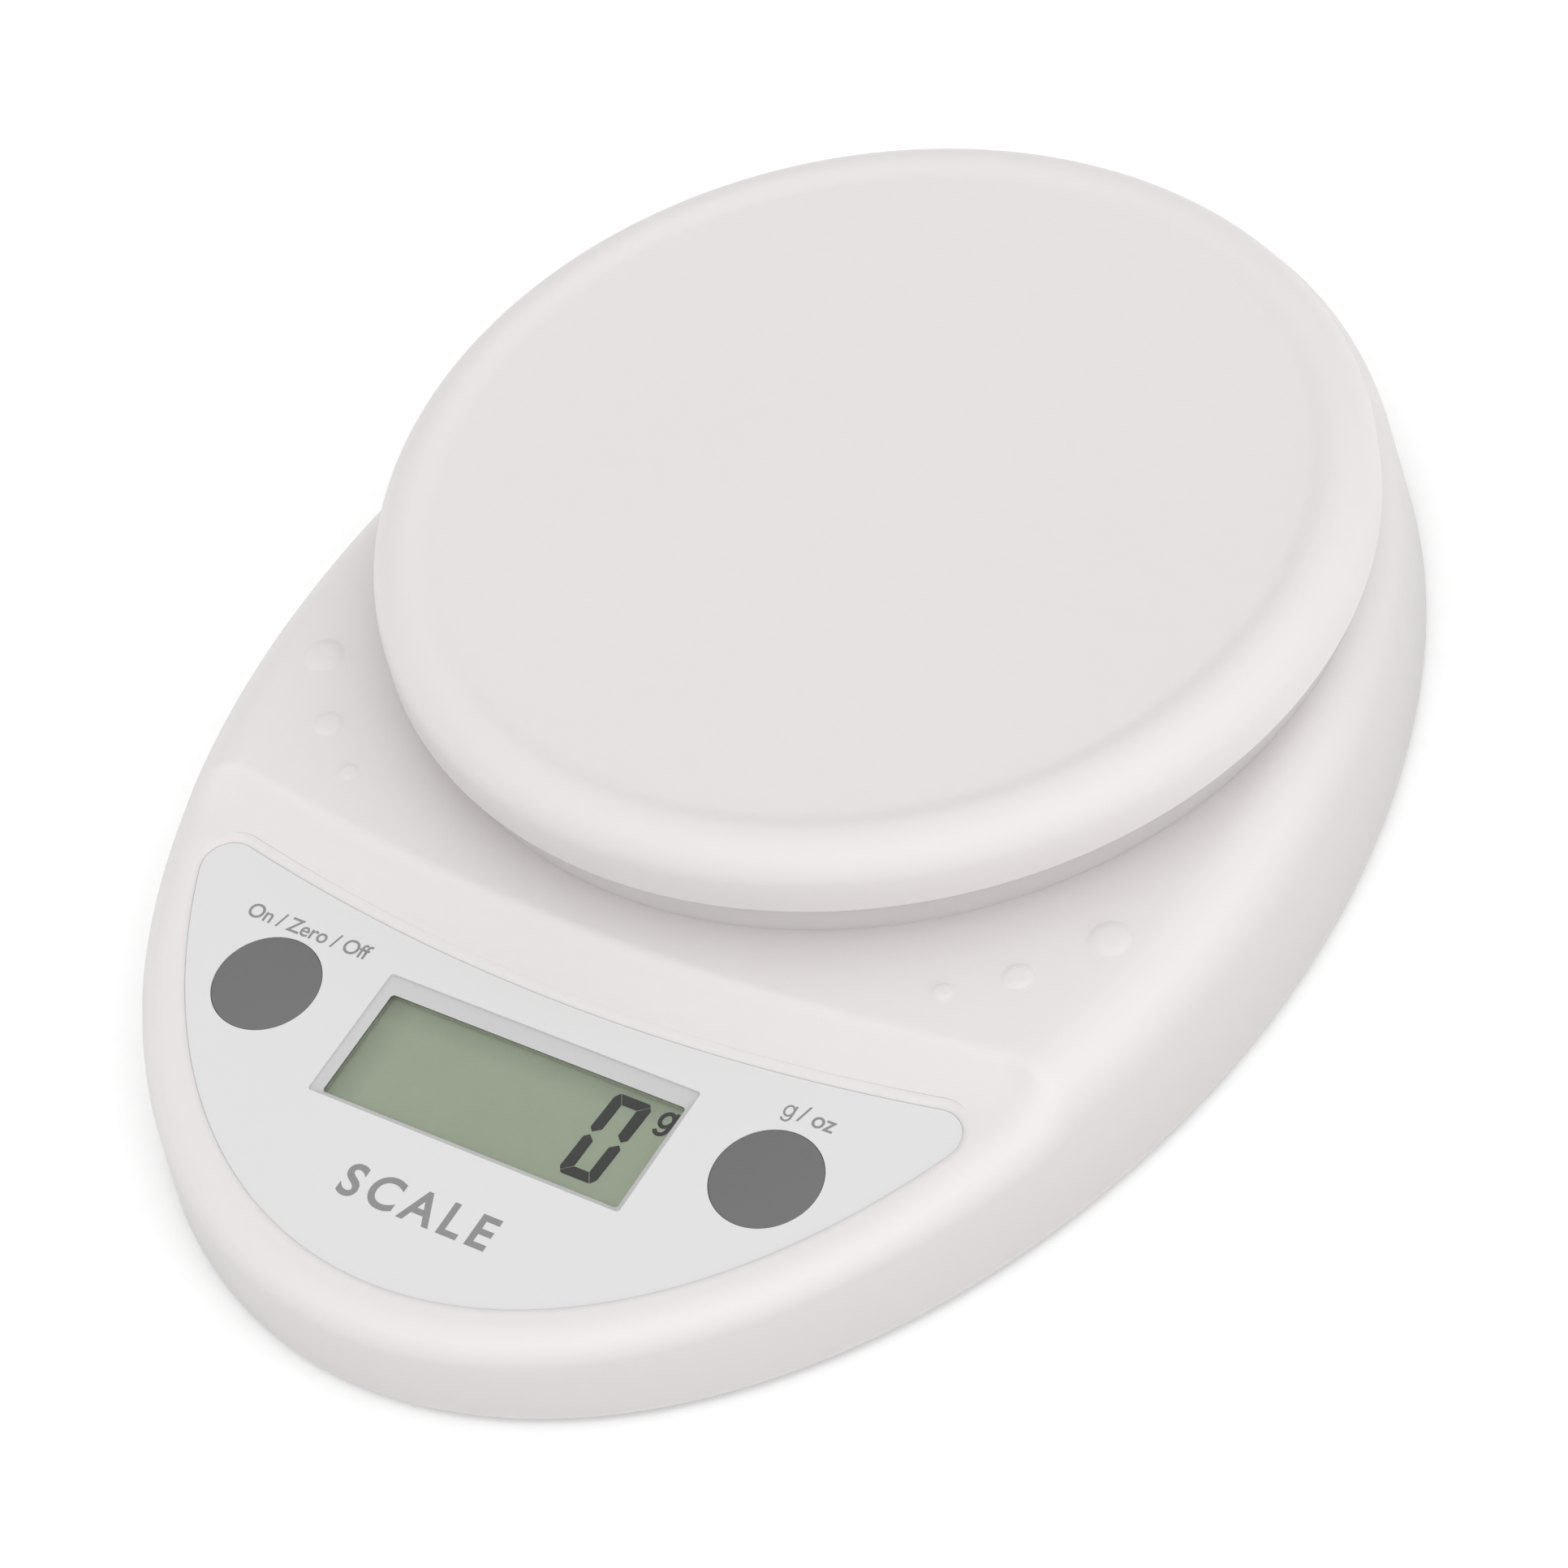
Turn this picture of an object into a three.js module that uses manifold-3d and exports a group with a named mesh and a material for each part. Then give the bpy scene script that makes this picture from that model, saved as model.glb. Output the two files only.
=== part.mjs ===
// A compact battery-powered digital scale: an egg-shaped base with a sloping console, a round weighing
// platform on a collar, and the load cell, display, electronics and batteries inside.
// Units are millimetres. +X is right, +Y is back, +Z is up; the origin is on the table under the middle.
import * as THREE from 'three';
import { mergeVertices } from 'three/addons/utils/BufferGeometryUtils.js';
import Module from 'manifold-3d';

const wasm = await Module();
wasm.setup();

// ---------------------------------------------------------------- driving dimensions
const FRONT_LENGTH = 108.15; // base outline, from the middle to the nose
const BACK_LENGTH = 105.8; // and from the middle to the back
const HALF_WIDTH = 76.1;
const EGG = [-0.0263, -0.0182, -0.0005, 0.0096]; // how the half width varies from the back to the nose
const EDGE_Z = 1.2; // lower edge of the housing, lifted off the table by the feet
const WALL = 2.2; // thickness of the housing and of the bottom cover
// Lean of the side wall in degrees and the rounding above it, where the housing is low and where it is high.
const LOW_EDGE = { height: 17, lean: 1.9, radius: 4.4 };
const HIGH_EDGE = { height: 22.6, lean: 5.5, radius: 9 };

const PLATFORM_Y = 25.65; // platform axis, behind the middle
const PLATFORM_R = 67.3;
const PLATFORM_EDGE_Z = 28.5; // lower edge of the platform's skirt
const RIM_R = 5.3; // rounding from the skirt to the crest of the rim
const RIM_Z = 38.2; // crest of the rim, the highest point
const PAN_R = 59.6;
const PAN_Z = 37.65;
const SKIRT_WALL = 1.9;
const PAN_WALL = 2;
const COLLAR_R = 64.7; // round collar of the housing, inside the platform's skirt
const COLLAR_Z = 31.7;

const DECK_Z = 23.3; // deck round the collar, at the platform's axis
const DECK_SLOPE = 0.02;
const RIDGE_Y = -46; // ridge between the deck and the console
const RIDGE_BEND = 0.00142; // the ridge runs further back towards the sides, by this times x squared
const STEP_RUN = 8; // length over which the step below the ridge runs out

const LCD_Y = -69.45; // centre of the display's front face
const LCD_Z = 14.725;
const TILT = THREE.MathUtils.degToRad(4.14); // of the display, the film and the console
const LCD_SIZE = [49.6, 21];
const LCD_THICK = 2.6;
const LCD_VIEW = { width: 45.8, depth: 16.5, y: -0.35, z: 0.5 }; // lower edge of the recess, from the display
const RECESS = { width: 48.5, depth: 20, y: 0.25 }; // opening of the film over the display
const FRAME_BLOCK = [53, 24.4]; // outside of the display frame
const FRAME_FLANGE = [54.6, 28.6];
const FRAME_LOW = -2.9;
const FRAME_GAP = 0.35; // between the frame and the housing

const FILM_LEVEL = 1.77; // front of the film, square above the display's front face
const FILM_DROP = 0.45; // the film lies this far below the housing's surface
const FILM_THICK = 0.3;
const FILM_SEAT = 0.1; // adhesive between the film and the pocket's floor
const FILM_TOP_Y = -54.57; // upper edge of the overlay film
const FILM_BEND = 0.00175;
const FILM_TOP_HALF = 54.22; // half width of that edge, between its corners
const FILM_INSET = 6.9; // the film's lower edge, inside the base outline
const FILM_CORNER = 4;
const FILM_CORNER_START = -23.92; // direction in which the corner's arc leaves the side, in degrees
const POCKET_GAP = 0.15; // round the film
const POCKET_LIP = 0.65; // width of the sloping lip round the pocket

const KEY_X = 39.04;
const KEY_Y = -67.37;
const KEY_R = 7.5;
const KEY_HOLE_R = 7.62; // hole of the film
const KEY_FLANGE_R = 8.6; // collar that keeps the key in the housing
const STEM_LOW = -3.8;

const BOARD_TOP = -6; // in the display's frame
const BOARD_THICK = 1.6;
const BOARD_POSTS = [[-31, -8], [31, -8]]; // in the display's frame
const POST_R = 2.5;
const PLUNGER_TOP = -2.2;
const SWITCH_TOP = -3;

const CELL_Z = 8; // underside of the load cell
const CELL_SIZE = [80, 12.7, 12.7];
const CELL_HOLES = [19, 34]; // distance of each end's two screws from the middle of the load cell
const SUPPORT_Z = 33.2; // underside of the platform support
const SUPPORT_THICK = 2.2;
const SUPPORT_REACH = 50; // from the middle to the end of an arm
const SUPPORT_HUB_R = 20;
const SUPPORT_ARM = 13;
const SUPPORT_PINS = [[44, 0], [-44, 0], [0, 44], [0, -44]];
const SPACER_SIZE = [28, 12.7];
const SCREW_PATH_R = 2.3; // clearance hole of the load cell's screws
const LEAD_HOLE = { x: 27, width: 34, depth: 19 }; // opening in the collar's ceiling for spacer and lead

const COVER_Z = 1.6; // underside of the bottom cover
const COVER_TOP = COVER_Z + WALL;
const COVER_INSET = 2.8;
const FOOT_R = 5;
const FEET = [[-42, -70], [42, -70], [-44, 66], [44, 66]];
const BOSSES = [[0, -93], [-61, -25], [61, -25], [-54, 50], [54, 50], [0, 96]];
const BOSS_R = 3.5;
const PILOT_R = 1.5; // hole that takes a cover screw
const SCREW_HEAD_R = 2.6;
const DOT_RISE = 0.16; // height of a dot over its radius
const DOTS = [[61.8, -19.5, 2.95], [54.1, -29.5, 2.15], [46.5, -35.55, 1.45]]; // x, y, radius

const BAY = { x: 27.5, front: 46.9, back: 77.5, roof: 19, wall: 1.8 }; // battery bay, inside faces
const BATTERY_R = 7.1;
const BATTERY_Y = [54.6, 69.8];
const BATTERY_Z = 11.4;
const BATTERY_LENGTH = 49.5; // without the nub
const NUB_LENGTH = 1;
const HINGE_Y = 47.9; // battery door, axis at its hinged edge
const HINGE_Z = 2.6;
const DOOR_THICK = 2;
const TAB_X = 16;

const ROUND = 32; // sides of a middle-sized round shape
const ROUNDING_STEPS = 3;
const RUNG_STEPS = 4;

// ---------------------------------------------------------------- solids
// A closed geometry as a solid for cutting and joining, with its faces turned outwards.
function solid(geometry, frame) {
  const bare = new THREE.BufferGeometry();
  bare.setAttribute('position', geometry.getAttribute('position').clone());
  bare.setIndex(geometry.getIndex());
  if (frame) bare.applyMatrix4(frame);
  const merged = mergeVertices(bare, 1e-4);
  const index = new Uint32Array(merged.getIndex().array);
  const positions = merged.getAttribute('position').array;
  let made = new wasm.Manifold(new wasm.Mesh({ numProp: 3, vertProperties: positions, triVerts: index }));
  if (made.volume() < 0) {
    index.reverse();
    made = new wasm.Manifold(new wasm.Mesh({ numProp: 3, vertProperties: positions, triVerts: index }));
  }
  return made;
}

function geometryOf(manifold) {
  const mesh = manifold.getMesh();
  const geometry = new THREE.BufferGeometry();
  geometry.setAttribute('position', new THREE.BufferAttribute(new Float32Array(mesh.vertProperties), 3));
  geometry.setIndex(new THREE.BufferAttribute(new Uint32Array(mesh.triVerts), 1));
  geometry.computeVertexNormals();
  return geometry;
}

const join = (first, ...others) => others.reduce((sum, other) => sum.add(other), first);
const cut = (first, ...others) => others.reduce((sum, other) => sum.subtract(other), first);

function blockGeometry(x0, x1, y0, y1, z0, z1) {
  const box = new THREE.BoxGeometry(x1 - x0, y1 - y0, z1 - z0);
  return box.translate((x0 + x1) / 2, (y0 + y1) / 2, (z0 + z1) / 2);
}

const block = (...sides) => solid(blockGeometry(...sides));

// A box centred on x = 0 and y = 0.
const pad = (width, depth, z0, z1) => blockGeometry(-width / 2, width / 2, -depth / 2, depth / 2, z0, z1);

// A round bar along Z between two heights.
function barGeometry(radius, z0, z1, sides = ROUND, topRadius = radius) {
  const bar = new THREE.CylinderGeometry(topRadius, radius, z1 - z0, sides);
  return bar.rotateX(Math.PI / 2).translate(0, 0, (z0 + z1) / 2);
}

const bar = (radius, x, y, z0, z1, sides) => solid(barGeometry(radius, z0, z1, sides).translate(x, y, 0));

// A round body about Z from [radius, height] points.
function turned(points, sides = ROUND) {
  const profile = points.map(([radius, height]) => new THREE.Vector2(radius, height));
  return new THREE.LatheGeometry(profile, sides).rotateX(Math.PI / 2);
}

// Points of an arc about [cx, cy], from one angle to another in degrees.
function arc(cx, cy, radius, from, to, steps) {
  return Array.from({ length: steps + 1 }, (_, i) => {
    const angle = THREE.MathUtils.degToRad(from + ((to - from) * i) / steps);
    return [cx + radius * Math.cos(angle), cy + radius * Math.sin(angle)];
  });
}

function plateGeometry(points, z0, z1) {
  const shape = new THREE.Shape(points.map(([x, y]) => new THREE.Vector2(x, y)));
  return new THREE.ExtrudeGeometry(shape, { depth: z1 - z0, bevelEnabled: false }).translate(0, 0, z0);
}

const plate = (points, z0, z1) => solid(plateGeometry(points, z0, z1));

// A wire of round section along a smooth curve through the given points.
function wireGeometry(points, radius, steps) {
  const path = new THREE.CatmullRomCurve3(points.map((p) => new THREE.Vector3(...p)));
  const section = new THREE.Shape(arc(0, 0, radius, 0, 315, 7).map(([x, y]) => new THREE.Vector2(x, y)));
  return new THREE.ExtrudeGeometry(section, { extrudePath: path, steps, bevelEnabled: false });
}

// ---------------------------------------------------------------- form of the base
function outline(t) {
  const c = Math.cos(t);
  const swell = EGG.reduce((sum, amount, i) => sum + amount * c ** (i + 1), 1);
  return [HALF_WIDTH * Math.sin(t) * swell, (c > 0 ? BACK_LENGTH : FRONT_LENGTH) * c];
}

// The outline's point and its outward direction, at angle t from the back.
function outlineFrame(t) {
  const small = 1e-4;
  const [x, y] = outline(t);
  const [xa, ya] = outline(t - small);
  const [xb, yb] = outline(t + small);
  const length = Math.hypot(xb - xa, yb - ya);
  return { x, y, nx: (ya - yb) / length, ny: (xb - xa) / length };
}

function insetPoint(t, inset) {
  const { x, y, nx, ny } = outlineFrame(t);
  return [x - nx * inset, y - ny * inset];
}

const deckHeight = (y) => DECK_Z + DECK_SLOPE * (y - PLATFORM_Y);
const ridgeAt = (x) => RIDGE_Y + RIDGE_BEND * x * x;

const filmHeight = (y) => LCD_Z + FILM_LEVEL / Math.cos(TILT) + Math.tan(TILT) * (y - LCD_Y);
const consoleHeight = (y) => filmHeight(y) + FILM_DROP;

// Height of the housing's upper surface: deck, step and console.
function topHeight(x, y) {
  const ridge = ridgeAt(x);
  const distance = ridge - y;
  if (distance <= 0) return deckHeight(y);
  const step = deckHeight(ridge) - consoleHeight(ridge);
  const left = Math.max(0, 1 - distance / STEP_RUN);
  return consoleHeight(y) + step * left * left;
}

// Lean of the side wall and its rounding, where the upper surface has the given height.
function edgeForm(height) {
  const rise = (height - LOW_EDGE.height) / (HIGH_EDGE.height - LOW_EDGE.height);
  const part = THREE.MathUtils.clamp(rise, 0, 1);
  const lean = THREE.MathUtils.degToRad(THREE.MathUtils.lerp(LOW_EDGE.lean, HIGH_EDGE.lean, part));
  return { lean, radius: THREE.MathUtils.lerp(LOW_EDGE.radius, HIGH_EDGE.radius, part) };
}

// Lean, and the rounding's centre, radius and end angle, at angle t of the outline.
function edgeRounding(t) {
  const { x, y, nx, ny } = outlineFrame(t);
  let inset = 8;
  let rounding;
  for (let pass = 0; pass < 8; pass += 1) {
    const px = x - nx * inset;
    const py = y - ny * inset;
    const height = topHeight(px, py);
    const slope = (topHeight(px, py + 0.01) - topHeight(px, py - 0.01)) / 0.02;
    const end = Math.PI / 2 + Math.atan(Math.abs(slope) < 0.2 ? slope * ny : 0);
    const { lean, radius } = edgeForm(height);
    const centreZ = height - radius * Math.sin(end);
    const centreInset = (centreZ - EDGE_Z) * Math.tan(lean) + radius / Math.cos(lean);
    inset = centreInset - radius * Math.cos(end);
    rounding = { lean, radius, centreZ, centreInset, end };
  }
  return rounding;
}

// Where the upper surface begins at angle t, counted along Y from the ridge's bent line through x = 0.
function rungPlace(t) {
  const { radius, centreInset, end } = edgeRounding(t);
  const [x, y] = insetPoint(t, centreInset - radius * Math.cos(end));
  return y - RIDGE_BEND * x * x;
}

// The angle whose rung lies at the given place.
function angleOfRung(place) {
  let low = 0;
  let high = Math.PI;
  for (let pass = 0; pass < 40; pass += 1) {
    const middle = (low + high) / 2;
    if (rungPlace(middle) > place) low = middle;
    else high = middle;
  }
  return (low + high) / 2;
}

// Angles of the outline: evenly spread, with one on the ridge and three down its step.
function spokeAngles() {
  const count = 30;
  const creases = [0, 0.3, 0.6, 1].map((part) => angleOfRung(RIDGE_Y - part * STEP_RUN));
  const even = Array.from({ length: count + 1 }, (_, i) => (Math.PI * i) / count);
  const apart = (t) => creases.every((crease) => Math.abs(crease - t) > 0.03);
  return [...even.filter(apart), ...creases].sort((a, b) => a - b);
}

const SPOKES = spokeAngles();

// The base's form as one closed body: the side wall, its rounding, and the upper surface as rungs that
// run from side to side. A depth gives the inner face of a wall of that thickness, open at the bottom.
function baseForm(depth, bottom) {
  const last = SPOKES.length - 1;
  const loop = [...SPOKES.map((t) => [t, 1]), ...SPOKES.slice(1, last).reverse().map((t) => [t, -1])];
  const positions = [];
  const index = [];
  const addRing = (place) => {
    loop.forEach(([t, side]) => {
      const { inset, z } = place(t);
      const [x, y] = insetPoint(t, inset);
      positions.push(x * side, y, z);
    });
  };
  addRing((t) => {
    const { lean } = edgeRounding(t);
    return { inset: (bottom - EDGE_Z) * Math.tan(lean) + depth / Math.cos(lean), z: bottom };
  });
  for (let k = 0; k <= ROUNDING_STEPS; k += 1) {
    addRing((t) => {
      const { lean, radius, centreInset, centreZ, end } = edgeRounding(t);
      const angle = lean + ((end - lean) * k) / ROUNDING_STEPS;
      const reach = radius - depth;
      return { inset: centreInset - reach * Math.cos(angle), z: centreZ + reach * Math.sin(angle) };
    });
  }
  const size = loop.length;
  for (let ring = 0; ring <= ROUNDING_STEPS; ring += 1) {
    for (let i = 0; i < size; i += 1) {
      const next = (i + 1) % size;
      const [a, b] = [ring * size + i, ring * size + next];
      index.push(a, a + size, b + size, a, b + size, b);
    }
  }
  const topRing = (ROUNDING_STEPS + 1) * size;
  const rungs = SPOKES.map((_, j) => {
    const right = topRing + j;
    if (j === 0 || j === last) return Array(RUNG_STEPS + 1).fill(right);
    const [xr, yr] = [positions[right * 3], positions[right * 3 + 1]];
    const rung = [topRing + size - j];
    for (let k = 1; k < RUNG_STEPS; k += 1) {
      const x = xr * ((2 * k) / RUNG_STEPS - 1);
      const y = yr - RIDGE_BEND * (xr * xr - x * x);
      rung.push(positions.length / 3);
      positions.push(x, y, topHeight(x, y) - depth);
    }
    return [...rung, right];
  });
  for (let j = 0; j < last; j += 1) {
    for (let k = 0; k < RUNG_STEPS; k += 1) {
      const [p, q, r, s] = [rungs[j][k], rungs[j][k + 1], rungs[j + 1][k + 1], rungs[j + 1][k]];
      if (r !== s) index.push(p, s, r);
      if (p !== q) index.push(p, r, q);
    }
  }
  const centre = positions.length / 3;
  positions.push(0, 0, bottom);
  for (let i = 0; i < size; i += 1) index.push(centre, i, (i + 1) % size);
  const geometry = new THREE.BufferGeometry();
  geometry.setAttribute('position', new THREE.Float32BufferAttribute(positions, 3));
  geometry.setIndex(index);
  return solid(geometry);
}

// ---------------------------------------------------------------- frames on the console
// A frame that stands square to the console, with its origin at the given height over a point of it.
function consoleFrame(x, y, z) {
  const group = new THREE.Group();
  group.position.set(x, y, z);
  group.rotation.x = TILT;
  group.updateMatrixWorld(true);
  return group;
}

const keyFrames = [-KEY_X, KEY_X].map((x) => consoleFrame(x, KEY_Y, filmHeight(KEY_Y))); // z = 0 is the face
const display = consoleFrame(0, LCD_Y, LCD_Z); // z = 0 on the display's front face
const KEY_LEVEL = (KEY_Y - LCD_Y) / Math.cos(TILT); // the keys' y in the display's frame

// Slides every point of an upright shape up or down so that z = 0 becomes the front of the film.
const onFilm = new THREE.Matrix4().set(
  1, 0, 0, 0,
  0, 1, 0, 0,
  0, Math.tan(TILT), 1, filmHeight(0),
  0, 0, 0, 1,
);

// The film's outline, grown by a margin. Its lower edge follows the base, and its upper edge bends.
function filmOutline(grow) {
  const leanAt = (x) => Math.atan(2 * FILM_BEND * x);
  const edge = (x, out) => {
    const lean = leanAt(x);
    return [x - out * Math.sin(lean), FILM_TOP_Y + FILM_BEND * x * x + out * Math.cos(lean)];
  };
  const [cornerX, cornerY] = edge(FILM_TOP_HALF, -FILM_CORNER);
  const start = THREE.MathUtils.degToRad(FILM_CORNER_START);
  const sideEnd = cornerY + FILM_CORNER * Math.sin(start) - 0.5;
  const spokes = SPOKES.filter((t) => insetPoint(t, FILM_INSET)[1] < sideEnd).reverse();
  const side = spokes.map((t) => insetPoint(t, FILM_INSET - grow));
  const cornerEnd = 90 + THREE.MathUtils.radToDeg(leanAt(FILM_TOP_HALF));
  const corner = arc(cornerX, cornerY, FILM_CORNER + grow, FILM_CORNER_START, cornerEnd, 6);
  const top = [40, 27, 13, 0].map((x) => edge(x, grow));
  const right = [...side, ...corner, ...top];
  const left = right.slice(1, -1).reverse().map(([x, y]) => [-x, y]);
  return [...right, ...left];
}

const filmPlate = (grow, low, high) => solid(plateGeometry(filmOutline(grow), low, high), onFilm);

// The space in which the film lies, with a sloping lip at the housing's surface.
function filmPocket() {
  const shape = new THREE.Shape(filmOutline(POCKET_GAP).map(([x, y]) => new THREE.Vector2(x, y)));
  const rise = 0.22;
  const bevel = { bevelEnabled: true, bevelSegments: 1, bevelSize: POCKET_LIP, bevelThickness: rise };
  const lip = new THREE.ExtrudeGeometry(shape, { depth: 2, ...bevel }).translate(0, 0, FILM_DROP + 0.05);
  return join(filmPlate(POCKET_GAP, -FILM_THICK - FILM_SEAT, 2), solid(lip, onFilm));
}

// ---------------------------------------------------------------- the assembly
const scale = new THREE.Group();
scale.name = 'digital_scale';
scale.add(...keyFrames, display);

// Finishes: colour, roughness, metalness.
const FINISHES = {
  body: [0xe9e5e4, 0.5, 0],
  film: [0xe1e2e2, 0.45, 0],
  frame: [0xdcdcdc, 0.5, 0],
  key: [0x787878, 0.6, 0],
  lcd: [0x99a28d, 0.3, 0],
  window: [0xf4f6f6, 0.1, 0],
  board: [0x2f6b3c, 0.6, 0],
  epoxy: [0x1c1c1e, 0.5, 0],
  black: [0x2b2b2d, 0.6, 0],
  rubber: [0xbdbab8, 0.9, 0],
  aluminium: [0xb9bcc0, 0.4, 1],
  steel: [0xc6c8ca, 0.3, 1],
  sealant: [0xf2f2ee, 0.7, 0],
  battery: [0x3c4650, 0.4, 0.3],
  red: [0xb02a25, 0.5, 0],
};

function addPart(name, geometry, finish, parent = scale) {
  const [color, roughness, metalness] = FINISHES[finish];
  const mesh = new THREE.Mesh(geometry, new THREE.MeshStandardMaterial({ color, roughness, metalness }));
  mesh.name = name;
  parent.add(mesh);
  return mesh;
}

// ---------------------------------------------------------------- housing
// A shallow dome that stands on the deck.
function dot(x, y, radius) {
  const height = radius * DOT_RISE;
  const sphere = (radius * radius + height * height) / (2 * height);
  const base = THREE.MathUtils.radToDeg(Math.asin(radius / sphere));
  const dome = arc(0, height - sphere, sphere, 90 - base, 90, 2);
  const body = turned([[0, -1], [radius, -1], ...dome.slice(0, -1), [0, height]], 14);
  return solid(body.translate(x, y, deckHeight(y)));
}

function bossSolid([x, y]) {
  const underCollar = Math.hypot(x, y - PLATFORM_Y) < COLLAR_R;
  const top = underCollar ? COLLAR_Z - WALL / 2 : topHeight(x, y) - WALL / 2;
  return bar(BOSS_R, x, y, COVER_TOP + 0.2, top, 20);
}

function collarSolid() {
  const edge = [[COLLAR_R, COLLAR_Z - 1], [COLLAR_R - 1, COLLAR_Z]];
  return solid(turned([[0, 12], [COLLAR_R, 12], ...edge, [0, COLLAR_Z]], 56).translate(0, PLATFORM_Y, 0));
}

// A round bar standing in a frame of the console.
const barIn = (frame, radius, x, y, z0, z1, sides) =>
  solid(barGeometry(radius, z0, z1, sides).translate(x, y, 0), frame.matrixWorld);

function upperHousing() {
  const hollow = bar(COLLAR_R - WALL, 0, PLATFORM_Y, 0, COLLAR_Z - WALL, 56);
  const shell = cut(join(baseForm(0, EDGE_Z), collarSolid()), baseForm(WALL, -4), hollow);
  const dots = DOTS.flatMap(([x, y, radius]) => [dot(x, y, radius), dot(-x, y, radius)]);
  const posts = BOARD_POSTS.map(([x, y]) => barIn(display, POST_R, x, y, BOARD_TOP + 0.1, 0.6, 16));
  const body = join(shell, ...dots, ...BOSSES.map(bossSolid), ...posts);
  const pilots = BOSSES.map(([x, y]) => bar(PILOT_R, x, y, 0, 12.5, 12));
  const boardPilots = BOARD_POSTS.map(([x, y]) => barIn(display, 1.1, x, y, -8, -1.5, 12));
  const { x, width, depth } = LEAD_HOLE;
  const [left, front] = [x - width / 2, PLATFORM_Y - depth / 2];
  const leadHole = block(left, left + width, front, front + depth, 20, 40);
  const keyHoles = keyFrames.map((frame) => barIn(frame, KEY_HOLE_R + 0.1, 0, 0, -8, 5));
  const [openingX, openingY] = FRAME_BLOCK.map((side) => side + 2 * FRAME_GAP);
  const opening = solid(pad(openingX, openingY, -6, 9), display.matrixWorld);
  return cut(body, leadHole, filmPocket(), opening, ...keyHoles, ...pilots, ...boardPilots);
}

// ---------------------------------------------------------------- console and display
function overlayFilm() {
  const keyHoles = keyFrames.map((frame) => barIn(frame, KEY_HOLE_R, 0, 0, -8, 5));
  const window = solid(pad(RECESS.width, RECESS.depth, -6, 9).translate(0, RECESS.y, 0), display.matrixWorld);
  return cut(filmPlate(0, -FILM_THICK, 0), window, ...keyHoles);
}

// A four-sided funnel between two rectangles, each with its width, its depth, its middle's y and its z.
function funnelGeometry(low, high) {
  const funnel = new THREE.BoxGeometry(1, 1, 2);
  const position = funnel.getAttribute('position');
  for (let i = 0; i < position.count; i += 1) {
    const { width, depth, y, z } = position.getZ(i) < 0 ? low : high;
    position.setXYZ(i, position.getX(i) * width, position.getY(i) * depth + y, z);
  }
  return funnel;
}

// The frame round the display, whose sloping inner faces are the walls of the recess.
function displayFrameSolid() {
  const frame = display.matrixWorld;
  const top = FILM_LEVEL - FILM_THICK - 0.05;
  const ring = solid(pad(...FRAME_BLOCK, FRAME_LOW, top), frame);
  const flange = solid(pad(...FRAME_FLANGE, FRAME_LOW, -1), frame);
  const seat = solid(pad(LCD_SIZE[0] + 0.6, LCD_SIZE[1] + 0.6, FRAME_LOW - 1, LCD_VIEW.z + 0.05), frame);
  const mouth = solid(funnelGeometry(LCD_VIEW, { ...RECESS, z: top }), frame);
  const above = solid(pad(RECESS.width, RECESS.depth, top - 0.01, 9).translate(0, RECESS.y, 0), frame);
  return cut(join(ring, flange), seat, mouth, above);
}

function keySolid() {
  const cap = solid(turned([[0, -1.5], [KEY_R, -1.5], [KEY_R, -0.15], [KEY_R - 0.15, 0], [0, 0]]));
  const flange = solid(barGeometry(KEY_FLANGE_R, -3.3, -2.5));
  const core = solid(barGeometry(KEY_R - 1, -2.6, -1.4));
  const stem = solid(barGeometry(2.2, STEM_LOW, -3.2, 20));
  return join(cap, flange, core, stem);
}

function boardSolid() {
  const corners = [[-38, -13], [38, -13], [47, -5], [47, 14], [-47, 14], [-47, -5]];
  const holes = BOARD_POSTS.map(([x, y]) => bar(1.4, x, y, -9, -5, 12));
  return cut(plate(corners, BOARD_TOP - BOARD_THICK, BOARD_TOP), ...holes);
}

function boardScrewGeometry() {
  const seat = BOARD_TOP - BOARD_THICK - 0.05;
  const head = [[0, seat - 1.4], [1.5, seat - 1.4], [2.2, seat - 0.9], [2.2, seat]];
  return turned([...head, [0.95, seat], [0.95, -3.2], [0, -3.2]], 16);
}

function addKey(side, sign, frame) {
  addPart(`${side}_key`, geometryOf(keySolid()), 'key', frame);
  const well = solid(barGeometry(1.9, -5, 0, 20));
  const body = cut(solid(pad(6, 6, BOARD_TOP + 0.05, SWITCH_TOP)), well);
  const switchMesh = addPart(`${side}_switch`, geometryOf(body), 'black', display);
  const plunger = addPart(`${side}_switch_plunger`, barGeometry(1.6, -4.3, PLUNGER_TOP, 20), 'key', display);
  switchMesh.position.set(sign * KEY_X, KEY_LEVEL, 0);
  plunger.position.set(sign * KEY_X, KEY_LEVEL, 0);
}

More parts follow.
